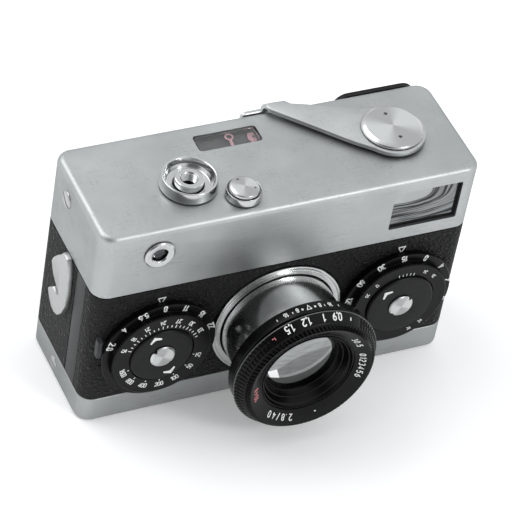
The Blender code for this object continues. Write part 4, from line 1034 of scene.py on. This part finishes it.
screws = {
    "coverScrewLeft": dict(x=-48.5, y=5.25, z=54.1, rise=0.6, radius=2.2, angle=35, body="camera"),
    "coverScrewRight": dict(x=48.5, y=5.25, z=54.1, rise=0.7, radius=2.25, angle=80, body="camera"),
    "baseScrewLeft": dict(x=-48.5, y=1.4, z=3.9, rise=0.4, radius=1.65, angle=20, body="back_shell"),
    "baseScrewRight": dict(x=48.5, y=1.5, z=3.5, rise=0.6, radius=1.7, angle=60, body="back_shell"),
}
screwNodes = {"coverScrewLeft": "cover_screw_left", "coverScrewRight": "cover_screw_right",
              "baseScrewLeft": "base_screw_left", "baseScrewRight": "base_screw_right"}


def screwPiece(name, x, y, z, rise, radius, angle, body):
    # shallow domed head standing out of a side, with a narrow slot turned by the angle: its corners lie at
    # (y, z) + along * (cos a, sin a) + across * (-sin a, cos a)
    sign = math.copysign(1.0, x)
    dome = ((0, 1.0), (0.5, 0.93), (0.8, 0.72), (0.95, 0.42), (1.0, 0.15))
    profile = [(radius * share, x + sign * rise * height) for share, height in dome]
    profile += [(radius, x - sign * 0.6), (0, x - sign * 0.6)]
    head = turnedPiece(name, profile, (0, y, z), "X", steel, body, 72, 0.05, closed=False,
                       replaced=(screwNodes[name],))
    turn = math.radians(angle)
    along = np.array([1, 1, -1, -1]) * radius * 1.5
    across = np.array([1, -1, -1, 1]) * 0.22
    ring = np.stack([y + along * np.cos(turn) - across * np.sin(turn),
                     z + along * np.sin(turn) + across * np.cos(turn)], -1)
    ends = [np.column_stack([np.full(4, level), ring]) for level in (x + sign * rise * 0.3, x + sign * 2.0)]
    carve(head, makePiece("slit", np.concatenate(ends) * mm, cappedFaces(2, 4), deepBlack, None))


for name, values in screws.items():
    screwPiece(name, **values)

# the button carries its whole spring, which moves with it; the real spring's foot stays on the chassis
spring = dict(low=47.55, high=57.85, radius=2.4, wire=0.25, turns=5)


def coilPiece(name, centre, low, high, radius, wire, turns, body, replaced):
    # round wire of radius w along a helix of radius r, rising evenly, with its rings upright through the
    # axis: ((r + w cos u) cos t, (r + w cos u) sin t, height + w sin u)
    t = np.linspace(0, 2 * math.pi * turns, turns * 28 + 1)[:, None]
    u = np.linspace(0, 2 * math.pi, 10, endpoint=False)[None, :]
    reach = radius + wire * np.cos(u)
    height = low + (high - low) * t / t.max() + wire * np.sin(u)
    grid = np.stack([centre[0] + reach * np.cos(t), centre[1] + reach * np.sin(t), height], -1)
    return makePiece(name, grid.reshape(-1, 3) * mm, cappedFaces(len(t), 10), steel, body, replaced)


coil = coilPiece("releaseSpring", release, **spring, body="release_button", replaced=("release_spring",))
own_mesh(coil)
counts = (("1", 75), ("6", 105), ("12", 135), ("18", 165), ("24", 195), ("30", 225), ("36", 255))
labels = [(text, (angle, 5.2), 1.2, 1.0) for text, angle in counts]
writeOn("counterFigures", labels, onCounter, 0.16, 0.03, deepBlack, "counter")
print("fittings done")

# parts whose own shape is shown, with their materials
carried = {
    blackPaint: ("body_casting", "back_panel", "shutter_housing"),
    blackPlastic: ("pressure_plate", "take_up_spool"),
    darkSteel: ("film_rails", "lens_carriage"),
    steel: ("battery", "sprocket_drum", "rewind_hub", "accessory_shoe", "lock_cam"),
    polished: ("rewind_crank", "lock_key"),
    brass: ("helicoid", "wind_gear", "tripod_bush"),
    clear: ("rear_lens",), meterCase: ("meter_movement",), bandGrey: ("aperture_catch",),
           dimMark: ("frame_counter",),
}
for material, names in carried.items():
    for name in names:
        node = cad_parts[name]
        node.data.materials.clear()
        node.data.materials.append(material)
        node.data.shade_smooth()
        node.data.set_sharp_from_angle(angle=math.radians(32))


def addToSet(name, data):
    # an object of the set round the part
    thing = bpy.data.objects.new(name, data)
    bpy.context.scene.collection.objects.link(thing)
    return thing


def softLight(name, spot, target, size, watts):
    lamp = bpy.data.lights.new(name, "AREA")
    lamp.shape = "RECTANGLE"
    lamp.size, lamp.size_y = size
    lamp.energy = watts
    holder = addToSet(name, lamp)
    holder.location = spot
    holder.rotation_euler = (Vector(target) - Vector(spot)).to_track_quat("-Z", "Y").to_euler()


ground = dict(reach=3.0, height=-0.0001)
floorPaint = Paint("paleFloor", Roughness=0.9, Specular_IOR_Level=0.1, Emission_Strength=0.14)
floorTone = floorPaint.mix(floorPaint.noise(60.0, 2, 0.5), (0.925, 0.928, 0.93), (0.945, 0.947, 0.948))
floorPaint.set("Base Color", floorTone)
floorMesh = bpy.data.meshes.new("floor")
floorMesh.from_pydata([(ground["reach"] * x, ground["reach"] * y, ground["height"])
                       for x, y in ((-1, -1), (1, -1), (1, 1), (-1, 1))], [], [(0, 1, 2, 3)])
floorMesh.materials.append(floorPaint.material)
addToSet("floor", floorMesh)
softLight("keyBox", (-0.42, 0.46, 0.80), (0, 0, 0.03), (0.8, 0.6), 3.6)
softLight("frontBox", (0.36, -0.66, 0.60), (0, 0, 0.03), (0.24, 0.18), 1.8)

# an even white room with one dark side, for the metal to reflect
room = dict(dark=(-0.52, -0.60, 0.61), start=0.80, full=0.96, white=(0.97, 0.985, 1.0, 1.0),
            shade=(0.16, 0.162, 0.165, 1.0))
world = bpy.data.worlds.new("studio")
world.use_nodes = True
tree = world.node_tree
outward = addNode(tree, "ShaderNodeTexCoord", {}, {}, "Generated")
facing = addNode(tree, "ShaderNodeVectorMath", {"operation": "DOT_PRODUCT"}, {0: outward, 1: room["dark"]},
                 "Value")
walls = addNode(tree, "ShaderNodeMix", {"data_type": "RGBA"},
                {0: facing.step(room["start"], room["full"]), 6: room["white"], 7: room["shade"]}, 2)
plug(tree, tree.nodes["Background"].inputs["Color"], walls)
tree.nodes["Background"].inputs["Strength"].default_value = 1.0
bpy.context.scene.world = world
bpy.context.scene.view_settings.view_transform = "Standard"

# the camera stands off along its bearing and height, is rolled about its own line of sight and looks past
# the middle
shot = dict(bearing=-30.92, height=43.318, roll=10.685, distance=747.06, lens=217.66, across=0.811,
            up=-1.573, middle=(0, 0, 30))
bearing, tall, roll = (math.radians(shot[key]) for key in ("bearing", "height", "roll"))
back = Vector((math.sin(bearing) * math.cos(tall), -math.cos(bearing) * math.cos(tall), math.sin(tall)))
level = (-back).cross(Vector((0, 0, 1))).normalized()
rise = level.cross(-back)
rightward = level * math.cos(roll) + rise * math.sin(roll)
upward = rise * math.cos(roll) - level * math.sin(roll)
spot = Vector(shot["middle"]) + back * shot["distance"] + rightward * shot["across"] + upward * shot["up"]
eye = bpy.data.cameras.new("eye")
eye.sensor_width = 36
eye.lens = shot["lens"]
eye.clip_start, eye.clip_end = 0.01, 20
camera = addToSet("eye", eye)
turn = camera.matrix_world.copy()
for row in range(3):
    turn[row][:] = rightward[row], upward[row], back[row], spot[row] * mm
camera.matrix_world = turn
bpy.context.scene.camera = camera
print("stage set")
